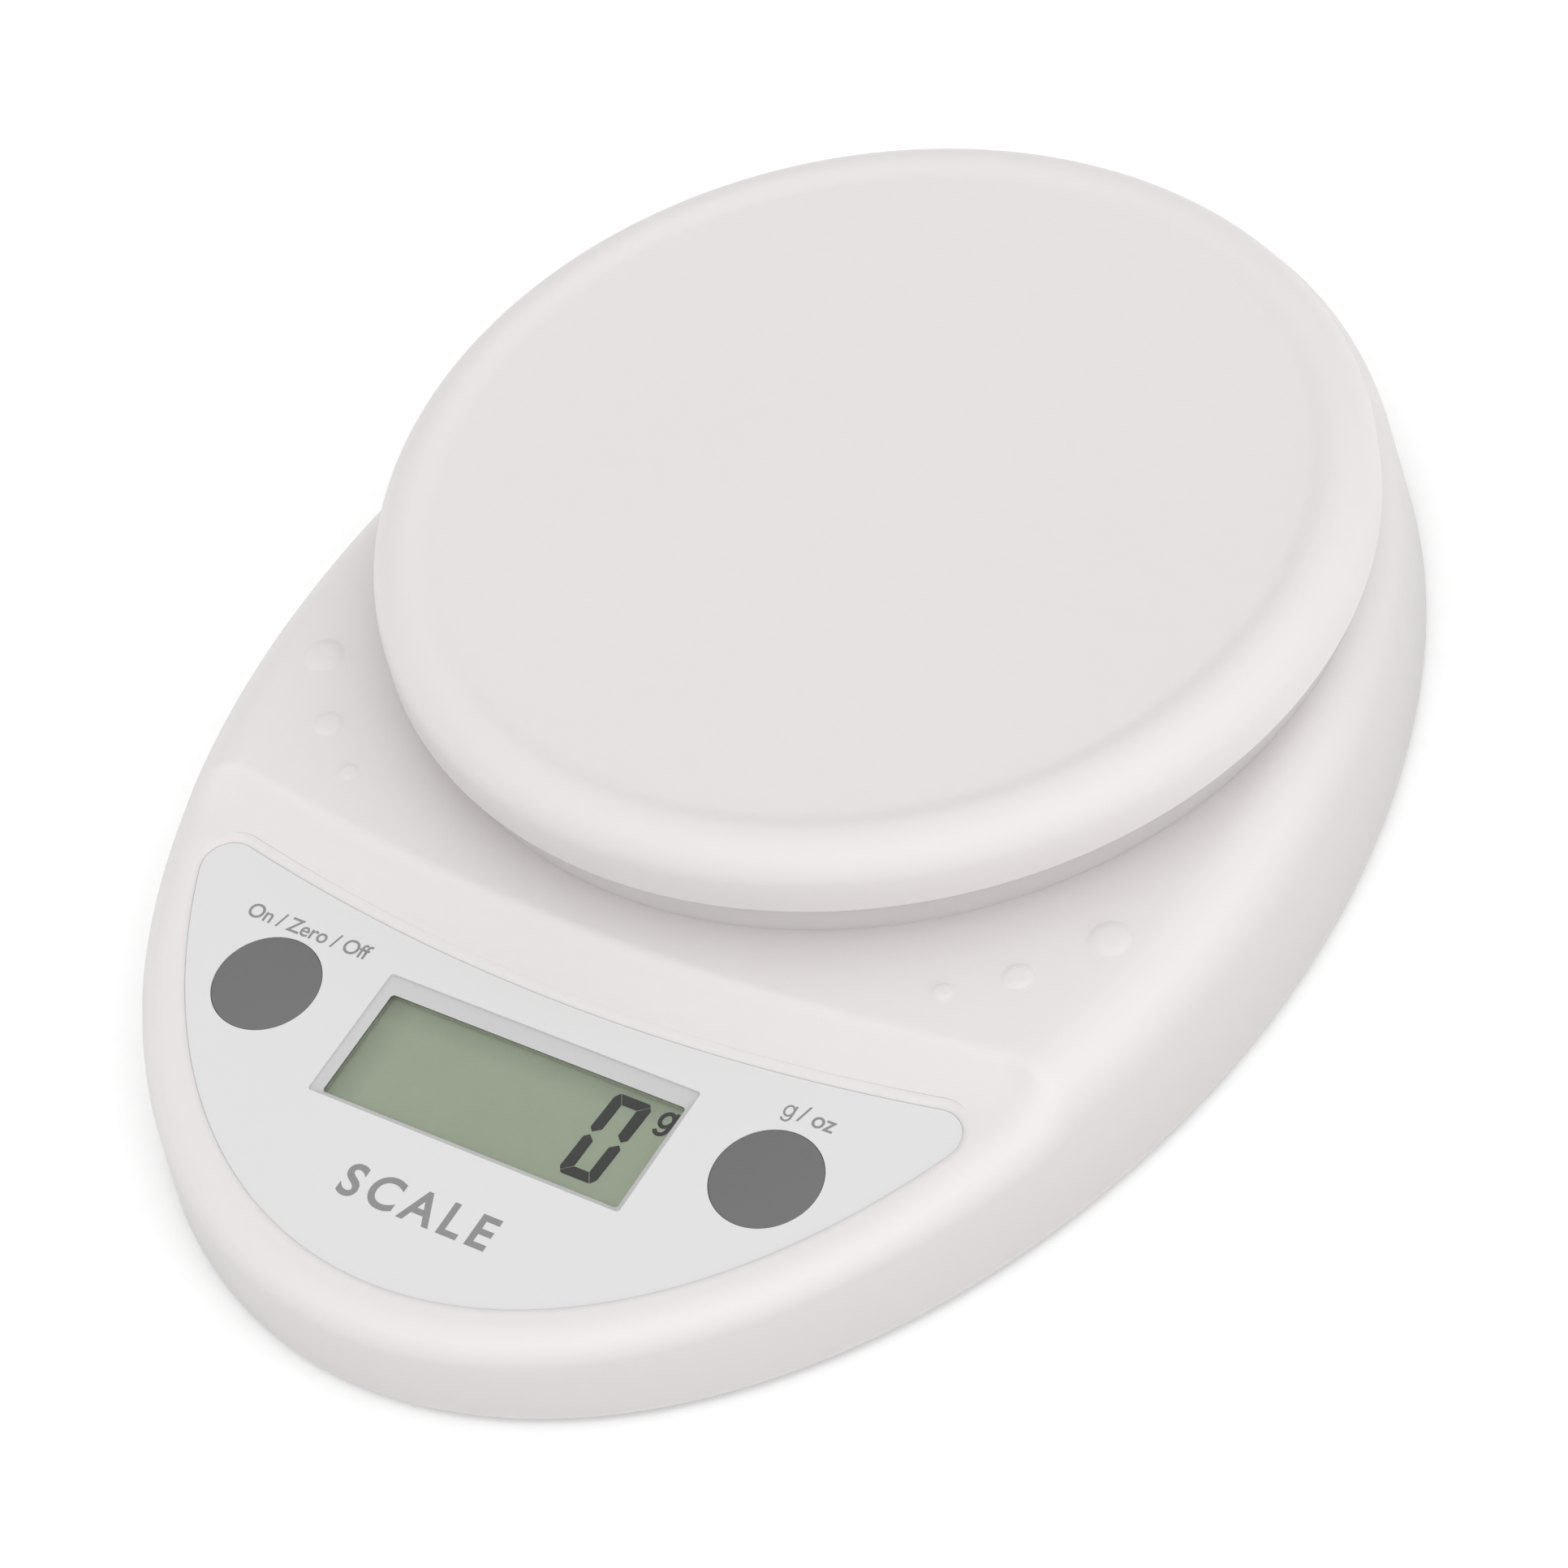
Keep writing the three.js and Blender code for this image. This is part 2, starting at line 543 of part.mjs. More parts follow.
function addConsole() {
  addPart('overlay_film', geometryOf(overlayFilm()), 'film');
  addPart('display_frame', geometryOf(displayFrameSolid()), 'frame');
  addPart('display_window', pad(49.6, 21, 0.05, LCD_VIEW.z), 'window', display);
  addPart('lcd_panel', pad(...LCD_SIZE, -LCD_THICK, 0), 'lcd', display);
  const strip = pad(44, 2.2, BOARD_TOP + 0.1, -LCD_THICK - 0.1).translate(0, 8.4, 0);
  addPart('elastomer_connector', strip, 'black', display);
  addPart('circuit_board', geometryOf(boardSolid()), 'board', display);
  const dome = arc(0, 0, 7, 270, 360, 4).map(([r, z]) => [r, z * 0.2]);
  const chip = turned([...dome, [0, 0]], 24).translate(6, 0, BOARD_TOP - BOARD_THICK - 0.05);
  addPart('controller_chip', chip, 'epoxy', display);
  addKey('left', -1, keyFrames[0]);
  addKey('right', 1, keyFrames[1]);
  ['left', 'right'].forEach((side, i) => {
    const [x, y] = BOARD_POSTS[i];
    addPart(`board_screw_${side}`, boardScrewGeometry().translate(x, y, 0), 'steel', display);
  });
}

// ---------------------------------------------------------------- weighing platform and load cell
function weighingPlatform() {
  const skirt = PLATFORM_R - SKIRT_WALL;
  const underside = PAN_Z - PAN_WALL;
  const rim = arc(PLATFORM_R - RIM_R, RIM_Z - RIM_R, RIM_R, 0, 90, 5);
  const inside = arc(skirt - RIM_R + 1, underside - RIM_R + 1, RIM_R - 1, 90, 0, 3);
  const outer = [[skirt, PLATFORM_EDGE_Z], [PLATFORM_R, PLATFORM_EDGE_Z], ...rim, [PAN_R, PAN_Z], [0, PAN_Z]];
  const body = solid(turned([[0, underside], ...inside, ...outer], 64).translate(0, PLATFORM_Y, 0));
  const pins = SUPPORT_PINS.map(([x, y]) => bar(2, x, y + PLATFORM_Y, SUPPORT_Z + 0.3, underside + 0.5, 16));
  return join(body, ...pins);
}

function platformSupport() {
  const top = SUPPORT_Z + SUPPORT_THICK;
  const half = SUPPORT_ARM / 2;
  const disc = bar(SUPPORT_HUB_R, 0, PLATFORM_Y, SUPPORT_Z, top, 40);
  const across = block(-SUPPORT_REACH, SUPPORT_REACH, PLATFORM_Y - half, PLATFORM_Y + half, SUPPORT_Z, top);
  const along = block(-half, half, PLATFORM_Y - SUPPORT_REACH, PLATFORM_Y + SUPPORT_REACH, SUPPORT_Z, top);
  const sockets = SUPPORT_PINS.map(([x, y]) => bar(2.3, x, y + PLATFORM_Y, 30, 40, 16));
  const screws = CELL_HOLES.map((x) => bar(SCREW_PATH_R, x, PLATFORM_Y, 30, 40, 16));
  const sink = () => barGeometry(SCREW_PATH_R, SUPPORT_Z + 0.6, top + 0.1, 16, 4.3);
  const sinks = CELL_HOLES.map((x) => solid(sink().translate(x, PLATFORM_Y, 0)));
  return cut(join(disc, across, along), ...sockets, ...screws, ...sinks);
}

// The beam: a square bar with two joined holes through its side that make it bend as a parallelogram.
function loadCell() {
  const [length, width, height] = CELL_SIZE;
  const top = CELL_Z + height;
  const beam = block(-length / 2, length / 2, PLATFORM_Y - width / 2, PLATFORM_Y + width / 2, CELL_Z, top);
  const middle = CELL_Z + height / 2;
  const bore = (x) => solid(new THREE.CylinderGeometry(5, 5, 20, 24).translate(x, PLATFORM_Y, middle));
  const slot = block(-7, 7, PLATFORM_Y - 10, PLATFORM_Y + 10, middle - 1.5, middle + 1.5);
  const places = CELL_HOLES.flatMap((x) => [x, -x]);
  const holes = places.map((x) => bar(SCREW_PATH_R, x, PLATFORM_Y, 0, 40, 16));
  return cut(beam, bore(-7), bore(7), slot, ...holes);
}

function spacer() {
  const [width, depth] = SPACER_SIZE;
  const middle = (CELL_HOLES[0] + CELL_HOLES[1]) / 2;
  const low = CELL_Z + CELL_SIZE[2] + 0.05;
  const [left, front] = [middle - width / 2, PLATFORM_Y - depth / 2];
  const body = block(left, left + width, front, front + depth, low, SUPPORT_Z - 0.05);
  return cut(body, ...CELL_HOLES.map((x) => bar(SCREW_PATH_R, x, PLATFORM_Y, 0, 40, 16)));
}

function addWeighing() {
  addPart('weighing_platform', geometryOf(weighingPlatform()), 'body');
  addPart('platform_support', geometryOf(platformSupport()), 'black');
  addPart('load_cell', geometryOf(loadCell()), 'aluminium');
  addPart('support_spacer', geometryOf(spacer()), 'aluminium');
  const [length, width, height] = CELL_SIZE;
  const top = CELL_Z + height;
  const gauge = pad(length * 0.36, width - 1, top + 0.05, top + 1.6).translate(-2, PLATFORM_Y, 0);
  addPart('gauge_sealant', gauge, 'sealant');
  CELL_HOLES.forEach((x, i) => {
    const seat = SUPPORT_Z + 0.65;
    const flat = SUPPORT_Z + SUPPORT_THICK - 0.05;
    const upper = turned([[0, CELL_Z + 3], [2, CELL_Z + 3], [2, seat], [4, flat], [0, flat]], 16);
    addPart(`support_screw_${i + 1}`, upper.translate(x, PLATFORM_Y, 0), 'steel');
    const headLow = COVER_Z + 0.2;
    const headTop = COVER_Z + 2.2;
    const head = [[0, headLow], [3.4, headLow], [3.4, headTop]];
    const lower = turned([...head, [2, headTop], [2, CELL_Z + 9], [0, CELL_Z + 9]], 16);
    addPart(`load_cell_screw_${i + 1}`, lower.translate(-x, PLATFORM_Y, 0), 'steel');
  });
}

// ---------------------------------------------------------------- bottom cover, feet and batteries
function coverSheet() {
  const right = SPOKES.map((t) => insetPoint(t, COVER_INSET));
  const left = right.slice(1, -1).reverse().map(([x, y]) => [-x, y]);
  return plate([...right, ...left].reverse(), COVER_Z, COVER_TOP);
}

function bottomCover() {
  const { x, front, back, roof, wall } = BAY;
  const half = CELL_SIZE[1] / 2 + 1;
  const box = block(-x - wall, x + wall, front - wall, back + wall, COVER_Z + 0.5, roof + wall);
  const plinth = block(-41, -12, PLATFORM_Y - half, PLATFORM_Y + half, COVER_Z + 1, CELL_Z - 0.05);
  const hollow = block(-x, x, front, back, 0, roof);
  const fingerNotch = block(-8, 8, back - 1, back + 3.4, 0, COVER_Z + 1);
  const tabSlot = (at) => block(at - 4, at + 4, front - wall - 1, front + 1, COVER_TOP, COVER_TOP + 4);
  const tabSlots = [-TAB_X, TAB_X].map(tabSlot);
  const footPockets = FEET.map(([fx, fy]) => bar(FOOT_R + 0.3, fx, fy, 0, COVER_Z + 1, 20));
  const screwHoles = BOSSES.map(([bx, by]) => bar(1.8, bx, by, 0, 6, 16));
  const screwSinks = BOSSES.map(([bx, by]) => bar(SCREW_HEAD_R + 0.4, bx, by, 0, COVER_Z + 1.2, 20));
  const cellHoles = CELL_HOLES.map((at) => bar(SCREW_PATH_R, -at, PLATFORM_Y, 0, 12, 16));
  const cellSinks = CELL_HOLES.map((at) => bar(3.8, -at, PLATFORM_Y, 0, COVER_Z + 2.25, 20));
  const contactSlots = BATTERY_Y.map((at) => block(-x - wall - 1, -x + 1, at - 1.5, at + 1.5, 9.5, 13.5));
  const screws = [...screwHoles, ...screwSinks, ...cellHoles, ...cellSinks];
  const body = join(coverSheet(), box, plinth);
  return cut(body, hollow, fingerNotch, ...tabSlots, ...footPockets, ...contactSlots, ...screws);
}

function batteryDoor() {
  const { x, back } = BAY;
  const half = x - 0.4;
  const top = COVER_Z + DOOR_THICK;
  const panel = block(-half, half, HINGE_Y, back - 0.4, COVER_Z, top);
  const roll = new THREE.CylinderGeometry(DOOR_THICK / 2, DOOR_THICK / 2, 2 * half, 20).rotateZ(Math.PI / 2);
  const edge = solid(roll.translate(0, HINGE_Y, HINGE_Z));
  const tabs = [-TAB_X, TAB_X].flatMap((at) => [
    block(at - 3, at + 3, HINGE_Y - 2.6, HINGE_Y + 1.4, COVER_TOP + 0.3, COVER_TOP + 1.3),
    block(at - 3, at + 3, HINGE_Y, HINGE_Y + 1.4, top - 0.5, COVER_TOP + 1.3),
  ]);
  const tongue = block(-6, 6, back - 2.3, back - 1.1, top - 0.5, top + 2.8);
  const grip = block(-7, 7, back - 6, back - 4.6, COVER_Z - 1, COVER_Z + 0.6);
  return cut(join(panel, edge, tongue, ...tabs), grip);
}

// A cell lying along X about its own middle, with its nub towards +X.
function batteryGeometry() {
  const half = BATTERY_LENGTH / 2;
  const edge = BATTERY_R - 0.5;
  const can = [[0, -half], [edge, -half], [BATTERY_R, 0.5 - half], [BATTERY_R, half - 0.5], [edge, half]];
  const nub = [[2.75, half], [2.75, half + NUB_LENGTH], [0, half + NUB_LENGTH]];
  return turned([...can, ...nub], 24).rotateY(Math.PI / 2);
}

function addBatteries() {
  const inner = BAY.x - 0.3;
  const shift = inner - 0.4 - 0.3 - NUB_LENGTH - BATTERY_LENGTH / 2;
  BATTERY_Y.forEach((y, i) => {
    const sign = i === 0 ? -1 : 1;
    const name = i === 0 ? 'front' : 'rear';
    const cell = addPart(`${name}_battery`, batteryGeometry(), 'battery');
    cell.position.set(sign * shift, y, BATTERY_Z);
    cell.rotation.z = i === 0 ? Math.PI : 0;
  });
  const leaf = (x, y0, y1) => block(Math.min(x, x + 0.4), Math.max(x, x + 0.4), y0, y1, 6.5, 16.5);
  const cone = (sign, y) => {
    const spring = barGeometry(4.6, 0, 2.1, 20, 3).rotateY((sign * Math.PI) / 2);
    return solid(spring.translate(-sign * (inner - 0.35), y, BATTERY_Z));
  };
  const [frontY, rearY] = BATTERY_Y;
  const link = join(leaf(inner - 0.4, frontY - 5, rearY + 5), cone(-1, frontY));
  const tail = (y) => block(-BAY.x - BAY.wall - 2.6, -inner + 0.2, y - 1.2, y + 1.2, 11.2, 11.6);
  addPart('battery_link', geometryOf(link), 'steel');
  addPart('positive_terminal', geometryOf(join(leaf(-inner, frontY - 5, frontY + 5), tail(frontY))), 'steel');
  const negative = join(leaf(-inner, rearY - 5, rearY + 5), tail(rearY), cone(1, rearY));
  addPart('negative_terminal', geometryOf(negative), 'steel');
}

function addBase() {
  addPart('upper_housing', geometryOf(upperHousing()), 'body');
  addPart('bottom_cover', geometryOf(bottomCover()), 'body');
  addPart('battery_door', geometryOf(batteryDoor()), 'body');
  ['front_left', 'front_right', 'rear_left', 'rear_right'].forEach((name, i) => {
    const top = COVER_Z + 0.9;
    const foot = turned([[0, 0], [FOOT_R - 0.5, 0], [FOOT_R, 0.5], [FOOT_R, top], [0, top]], 20);
    const mesh = addPart(`foot_${name}`, foot, 'rubber');
    mesh.position.set(...FEET[i], 0);
  });
  BOSSES.forEach(([x, y], i) => {
    const low = COVER_Z + 0.1;
    const high = COVER_Z + 1.15;
    const head = [[0, low], [SCREW_HEAD_R, low], [SCREW_HEAD_R, high]];
    const screw = turned([...head, [1.4, high], [1.4, 12], [0, 12]], 16);
    addPart(`cover_screw_${i + 1}`, screw.translate(x, y, 0), 'steel');
  });
}

// Wires, each from its terminal to the circuit board.
function addWires() {
  const edgeX = -BAY.x - BAY.wall - 3;
  const [frontY, rearY] = BATTERY_Y;
  const boardEdge = (x, radius) =>
    [[x, -48, 6.4 - radius / 2], [x, -52.5, 6.9 - radius], [x, -57.5, 7.6 - radius]];
  const red = [[edgeX, frontY, 11.4], [edgeX - 4, frontY - 2, 11], [-46, 34, 7], [-47, 0, 6], [-40, -36, 6]];
  const black = [[edgeX, rearY, 11.4], [edgeX - 5, rearY - 3, 11], [-50, 40, 7], [-50, 0, 6], [-43, -36, 6]];
  addPart('battery_lead_red', wireGeometry([...red, ...boardEdge(-36, 0.7)], 0.7, 26), 'red');
  addPart('battery_lead_black', wireGeometry([...black, ...boardEdge(-39, 0.7)], 0.7, 26), 'black');
  const lead = [[-2, PLATFORM_Y - 7.2, 20], [-4, 12, 16], [-8, 0, 7], [-10, -30, 6]];
  addPart('load_cell_lead', wireGeometry([...lead, ...boardEdge(-12, 1.1)], 1.1, 24), 'sealant');
}

addBase();
addConsole();
addWeighing();
addBatteries();
addWires();

export default scale;
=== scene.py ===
"""Looks of the compact digital scale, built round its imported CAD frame.

Sizes are in millimetres until a mesh is made, which puts them in metres. +X is right, +Y back, +Z up.
"""

import math

import bmesh
import bpy
import numpy as np
from mathutils import Matrix, Vector


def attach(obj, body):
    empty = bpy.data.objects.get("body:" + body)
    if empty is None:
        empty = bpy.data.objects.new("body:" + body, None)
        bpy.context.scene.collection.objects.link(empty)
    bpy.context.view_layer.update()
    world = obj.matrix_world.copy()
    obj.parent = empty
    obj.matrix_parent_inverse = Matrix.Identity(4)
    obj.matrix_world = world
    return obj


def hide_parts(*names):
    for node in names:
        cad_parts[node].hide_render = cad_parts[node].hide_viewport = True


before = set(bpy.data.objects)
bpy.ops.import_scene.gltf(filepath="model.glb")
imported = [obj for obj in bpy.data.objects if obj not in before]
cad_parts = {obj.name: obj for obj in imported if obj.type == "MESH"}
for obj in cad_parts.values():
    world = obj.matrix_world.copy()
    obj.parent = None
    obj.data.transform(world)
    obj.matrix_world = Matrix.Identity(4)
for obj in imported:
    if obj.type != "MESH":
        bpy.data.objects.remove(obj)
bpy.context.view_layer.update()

MM = 0.001

# ------------------------------------------------------------------ driving dimensions, as in the CAD model
FRONT_LENGTH = 108.15
BACK_LENGTH = 105.8
HALF_WIDTH = 76.1
EGG = (-0.0263, -0.0182, -0.0005, 0.0096)
EDGE_Z = 1.2
WALL = 2.2
EDGE_HEIGHTS = (17, 22.6)  # where the housing is low and where it is high
EDGE_LEANS = (1.9, 5.5)  # lean of the side wall at those heights, in degrees
EDGE_RADII = (4.4, 9)  # rounding above the side wall

PLATFORM_Y = 25.65
PLATFORM_R = 67.3
PLATFORM_EDGE_Z = 28.5
RIM_R = 5.3
RIM_Z = 38.2
PAN_R = 59.6
PAN_Z = 37.65
PAN_SOFT = 1.2  # how far the fall of the rim runs out into the pan
PAN_WALL = 2
SKIRT_WALL = 1.9
COLLAR_R = 64.7
COLLAR_Z = 31.7

DECK_Z = 23.3
DECK_SLOPE = 0.02
RIDGE_Y = -46
RIDGE_BEND = 0.00142
RIDGE_SOFT = 0.7  # half width over which the ridge is rounded
STEP_RUN = 8

LCD_Y = -69.45
LCD_Z = 14.725
TILT = math.radians(4.14)
LCD_SIZE = (49.6, 21)
LCD_THICK = 2.6
LCD_VIEW = (45.8, 16.5, -0.35, 0.5)  # width, depth, middle y and z of the recess at its bottom
RECESS = (48.5, 20, 0.25)  # width, depth and middle y of the recess at the film
FRAME_BLOCK = (53, 24.4)
FRAME_FLANGE = (54.6, 28.6)
FRAME_LOW = -2.9
FRAME_GAP = 0.35  # between the frame and the housing

FILM_LEVEL = 1.77
FILM_DROP = 0.45
FILM_THICK = 0.3
FILM_SEAT = 0.1
FILM_TOP_Y = -54.57
FILM_BEND = 0.00175
FILM_TOP_HALF = 54.22
FILM_INSET = 6.9
FILM_CORNER = 4
FILM_CORNER_START = -23.92

KEY_X = 39.04
KEY_Y = -67.37
KEY_R = 7.5
KEY_HOLE_R = 7.62

COVER_Z = 1.6
COVER_TOP = COVER_Z + WALL
COVER_INSET = 2.8
FOOT_R = 5
FEET = ((-42, -70), (42, -70), (-44, 66), (44, 66))
BOSSES = ((0, -93), (-61, -25), (61, -25), (-54, 50), (54, 50), (0, 96))
BOSS_R = 3.5
DOTS = ((61.8, -19.5, 2.95), (54.1, -29.5, 2.15), (46.5, -35.55, 1.45))
BOARD_POSTS = ((-31, -8), (31, -8))
LEAD_HOLE = (27, 34, 19)  # middle x, width, depth of the opening in the collar's ceiling

BAY_X, BAY_FRONT, BAY_BACK, BAY_ROOF, BAY_WALL = 27.5, 46.9, 77.5, 19, 1.8
HINGE_Y = 47.9
HINGE_Z = 2.6
DOOR_THICK = 2
TAB_X = 16
CELL_HOLES = (19, 34)
BATTERY_R = 7.1
BATTERY_Y = (54.6, 69.8)
BATTERY_Z = 11.4
BATTERY_HALF = 24.75
BATTERY_SHIFT = 0.75  # how far each cell's middle lies from the middle of the bay, towards its nub
CONTACT_X = 27.2  # inner face of the battery contacts' leaves
BOARD_TOP = -6
BOARD_THICK = 1.6
SUPPORT_Z = 33.2
SUPPORT_THICK = 2.2
CELL_Z = 8


# ------------------------------------------------------------------ meshes
def in_scene(name, data):
    """An object of the scene that shows a mesh, a text or a camera."""
    obj = bpy.data.objects.new(name, data)
    bpy.context.scene.collection.objects.link(obj)
    return obj


def new_object(name, vertices, faces):
    """An object from vertices in millimetres."""
    mesh = bpy.data.meshes.new(name)
    mesh.from_pydata([tuple(MM * c for c in v) for v in vertices], [], faces)
    mesh.validate()
    return in_scene(name, mesh)


def face_out(obj):
    """Turns every face of a closed mesh outwards."""
    work = bmesh.new()
    work.from_mesh(obj.data)
    bmesh.ops.recalc_face_normals(work, faces=work.faces)
    work.to_mesh(obj.data)
    work.free()
    return obj


def rings(name, loops, close_start=True, close_end=True):
    """A body whose skin runs through loops of equal length; the end loops are closed by one face each."""
    size = len(loops[0])
    vertices = [p for loop in loops for p in loop]
    faces = []
    for k in range(len(loops) - 1):
        for i in range(size):
            j = (i + 1) % size
            faces.append((k * size + i, k * size + j, (k + 1) * size + j, (k + 1) * size + i))
    if close_start:
        faces.append(tuple(reversed(range(size))))
    if close_end:
        last = (len(loops) - 1) * size
        faces.append(tuple(range(last, last + size)))
    return face_out(new_object(name, vertices, faces))


def turned(name, profile, sides=96, centre=(0, 0)):
    """A round body about Z from (radius, height) points; a point on the axis becomes one vertex."""
    cx, cy = centre
    vertices, rows = [], []
    for radius, height in profile:
        if radius < 1e-6:
            rows.append([len(vertices)] * sides)
            vertices.append((cx, cy, height))
            continue
        rows.append(list(range(len(vertices), len(vertices) + sides)))
        for i in range(sides):
            angle = 2 * math.pi * i / sides
            vertices.append((cx + radius * math.cos(angle), cy + radius * math.sin(angle), height))
    on_axis = profile[0][0] < 1e-6
    pairs = list(zip(rows, rows[1:])) + ([] if on_axis else [(rows[-1], rows[0])])
    faces = []
    for low, high in pairs:
        for i in range(sides):
            j = (i + 1) % sides
            corners = [low[i], low[j], high[j], high[i]]
            face = [c for n, c in enumerate(corners) if c not in corners[:n]]
            if len(face) > 2:
                faces.append(face)
    return face_out(new_object(name, vertices, faces))


def bar(name, radius, x, y, z0, z1, sides=48):
    """An upright cylinder."""
    return turned(name, [(0, z0), (radius, z0), (radius, z1), (0, z1)], sides, (x, y))


def block(name, x0, x1, y0, y1, z0, z1):
    lower = [(x0, y0, z0), (x1, y0, z0), (x1, y1, z0), (x0, y1, z0)]
    upper = [(x, y, z1) for x, y, _ in lower]
    return rings(name, [lower, upper])


def pad(name, width, depth, z0, z1):
    return block(name, -width / 2, width / 2, -depth / 2, depth / 2, z0, z1)


def plate(name, outline, z0, z1):
    return rings(name, [[(x, y, z0) for x, y in outline], [(x, y, z1) for x, y in outline]])


def merged(name, parts):
    """Parts that stay apart, as one object."""
    work = bmesh.new()
    for part in parts:
        work.from_mesh(part.data)
    for part in parts[1:]:
        bpy.data.objects.remove(part)
    work.to_mesh(parts[0].data)
    work.free()
    parts[0].name = name
    return parts[0]


def arc(cx, cy, radius, start, end, steps):
    """Points of an arc, its angles in degrees."""
    angles = [math.radians(start + (end - start) * i / steps) for i in range(steps + 1)]
    return [(cx + radius * math.cos(a), cy + radius * math.sin(a)) for a in angles]


def tube(name, path, radius, sides=14):
    """A wire of round section along a path of points."""
    points = np.array(path, float)
    along = np.gradient(points, axis=0)
    along /= np.linalg.norm(along, axis=1)[:, None]
    side = np.cross(along[0], (0.3, 0.5, 0.8))
    loops = []
    for point, direction in zip(points, along):
        side = side - direction * np.dot(side, direction)
        side /= np.linalg.norm(side)
        other = np.cross(direction, side)
        turns = [2 * math.pi * i / sides for i in range(sides)]
        loops.append([tuple(point + radius * (math.cos(a) * side + math.sin(a) * other)) for a in turns])
    return rings(name, loops)


def placed(obj, matrix):
    """Moves an object's own vertices."""
    obj.data.transform(matrix)
    return obj


def apply_modifiers(obj):
    graph = bpy.context.evaluated_depsgraph_get()
    mesh = bpy.data.meshes.new_from_object(obj.evaluated_get(graph))
    old = obj.data
    obj.modifiers.clear()
    obj.data = mesh
    bpy.data.meshes.remove(old)
    return obj


def combine(obj, operation, others):
    """Joins obj with others or cuts it by them; they are used up."""
    for other in others:
        step = obj.modifiers.new(operation, "BOOLEAN")
        step.operation = operation
        step.solver = "MANIFOLD"
        step.object = other
    apply_modifiers(obj)
    for other in others:
        bpy.data.objects.remove(other)
    return obj


def join(obj, *others):
    return combine(obj, "UNION", others)


def cut(obj, *others):
    return combine(obj, "DIFFERENCE", others)


def smooth(obj, angle):
    """Smooth shading, broken at edges sharper than the angle."""
    obj.data.polygons.foreach_set("use_smooth", [True] * len(obj.data.polygons))
    obj.data.set_sharp_from_angle(angle=math.radians(angle))
    return obj


def tidy(obj, distance=0.002):
    """Welds vertices closer than a distance in millimetres."""
    work = bmesh.new()
    work.from_mesh(obj.data)
    bmesh.ops.remove_doubles(work, verts=work.verts, dist=distance * MM)
    work.to_mesh(obj.data)
    work.free()
    return obj


def finish(obj, material, body, nodes=(), angle=0):
    """Gives a piece its material, its body, and the CAD nodes that it stands for. With an angle, it is welded
    and smoothly shaded first."""
    if angle:
        smooth(tidy(obj), angle)
    obj.data.materials.clear()
    obj.data.materials.append(MATERIALS[material])
    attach(obj, body)
    if nodes:
        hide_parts(*nodes)
    return obj


def repaint(node, material, bevel=0, round_steps=0):
    """A CAD node that stays: its material, a fine bevel in millimetres on its sharp edges, or a rounding."""
    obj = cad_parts[node]
    obj.data.materials.clear()
    obj.data.materials.append(MATERIALS[material])
    if bevel:
        step = obj.modifiers.new("edge", "BEVEL")
        step.width = bevel * MM
        step.segments = 2
        step.limit_method = "ANGLE"
        step.angle_limit = math.radians(40)
    if round_steps:
        step = obj.modifiers.new("rounding", "SUBSURF")
        step.levels = step.render_levels = round_steps
    return obj


def rounded_rectangle(x0, x1, y0, y1, radius):
    left, right, front, back = x0 + radius, x1 - radius, y0 + radius, y1 - radius
    corners = ((right, back), (left, back), (left, front), (right, front))
    return [p for i, (x, y) in enumerate(corners) for p in arc(x, y, radius, 90 * i, 90 * i + 90, 5)]


def rounded_box(name, low, high, radius):
    """A funnel between two rectangles with rounded corners, each (width, depth, middle y, z)."""
    loops = []
    for width, depth, middle, z in (low, high):
        front, back = middle - depth / 2, middle + depth / 2
        edge = rounded_rectangle(-width / 2, width / 2, front, back, radius)
        loops.append([(x, y, z) for x, y in edge])
    return rings(name, loops)


# ------------------------------------------------------------------ form of the base
def outline(t):
    c = np.cos(t)
    swell = 1 + sum(amount * c ** (i + 1) for i, amount in enumerate(EGG))
    return HALF_WIDTH * np.sin(t) * swell, np.where(c > 0, BACK_LENGTH, FRONT_LENGTH) * c


def outline_frame(t):
    """Point and outward direction of the base outline at angles t from the back."""
    small = 1e-4
    x, y = outline(t)
    xa, ya = outline(t - small)
    xb, yb = outline(t + small)
    length = np.hypot(xb - xa, yb - ya)
    return x, y, (ya - yb) / length, (xb - xa) / length


def inset_points(t, inset):
    x, y, nx, ny = outline_frame(t)
    return x - nx * inset, y - ny * inset


def deck_height(y):
    return DECK_Z + DECK_SLOPE * (y - PLATFORM_Y)


def ridge_at(x):
    return RIDGE_Y + RIDGE_BEND * x * x


def film_height(y):
    return LCD_Z + FILM_LEVEL / math.cos(TILT) + math.tan(TILT) * (y - LCD_Y)


def console_height(y):
    return film_height(y) + FILM_DROP


def top_height(x, y):
    """Height of the housing's upper surface: deck, rounded ridge, step and console."""
    ridge = ridge_at(x)
    distance = ridge - y
    rounded = (distance + RIDGE_SOFT) ** 2 / (4 * RIDGE_SOFT)
    distance = np.where(distance < -RIDGE_SOFT, 0, np.where(distance > RIDGE_SOFT, distance, rounded))
    reached = ridge - distance
    step = deck_height(ridge) - console_height(ridge)
    left = np.maximum(0, 1 - distance / STEP_RUN)
    below = console_height(reached) + step * left * left
    return deck_height(y) - (deck_height(reached) - below)


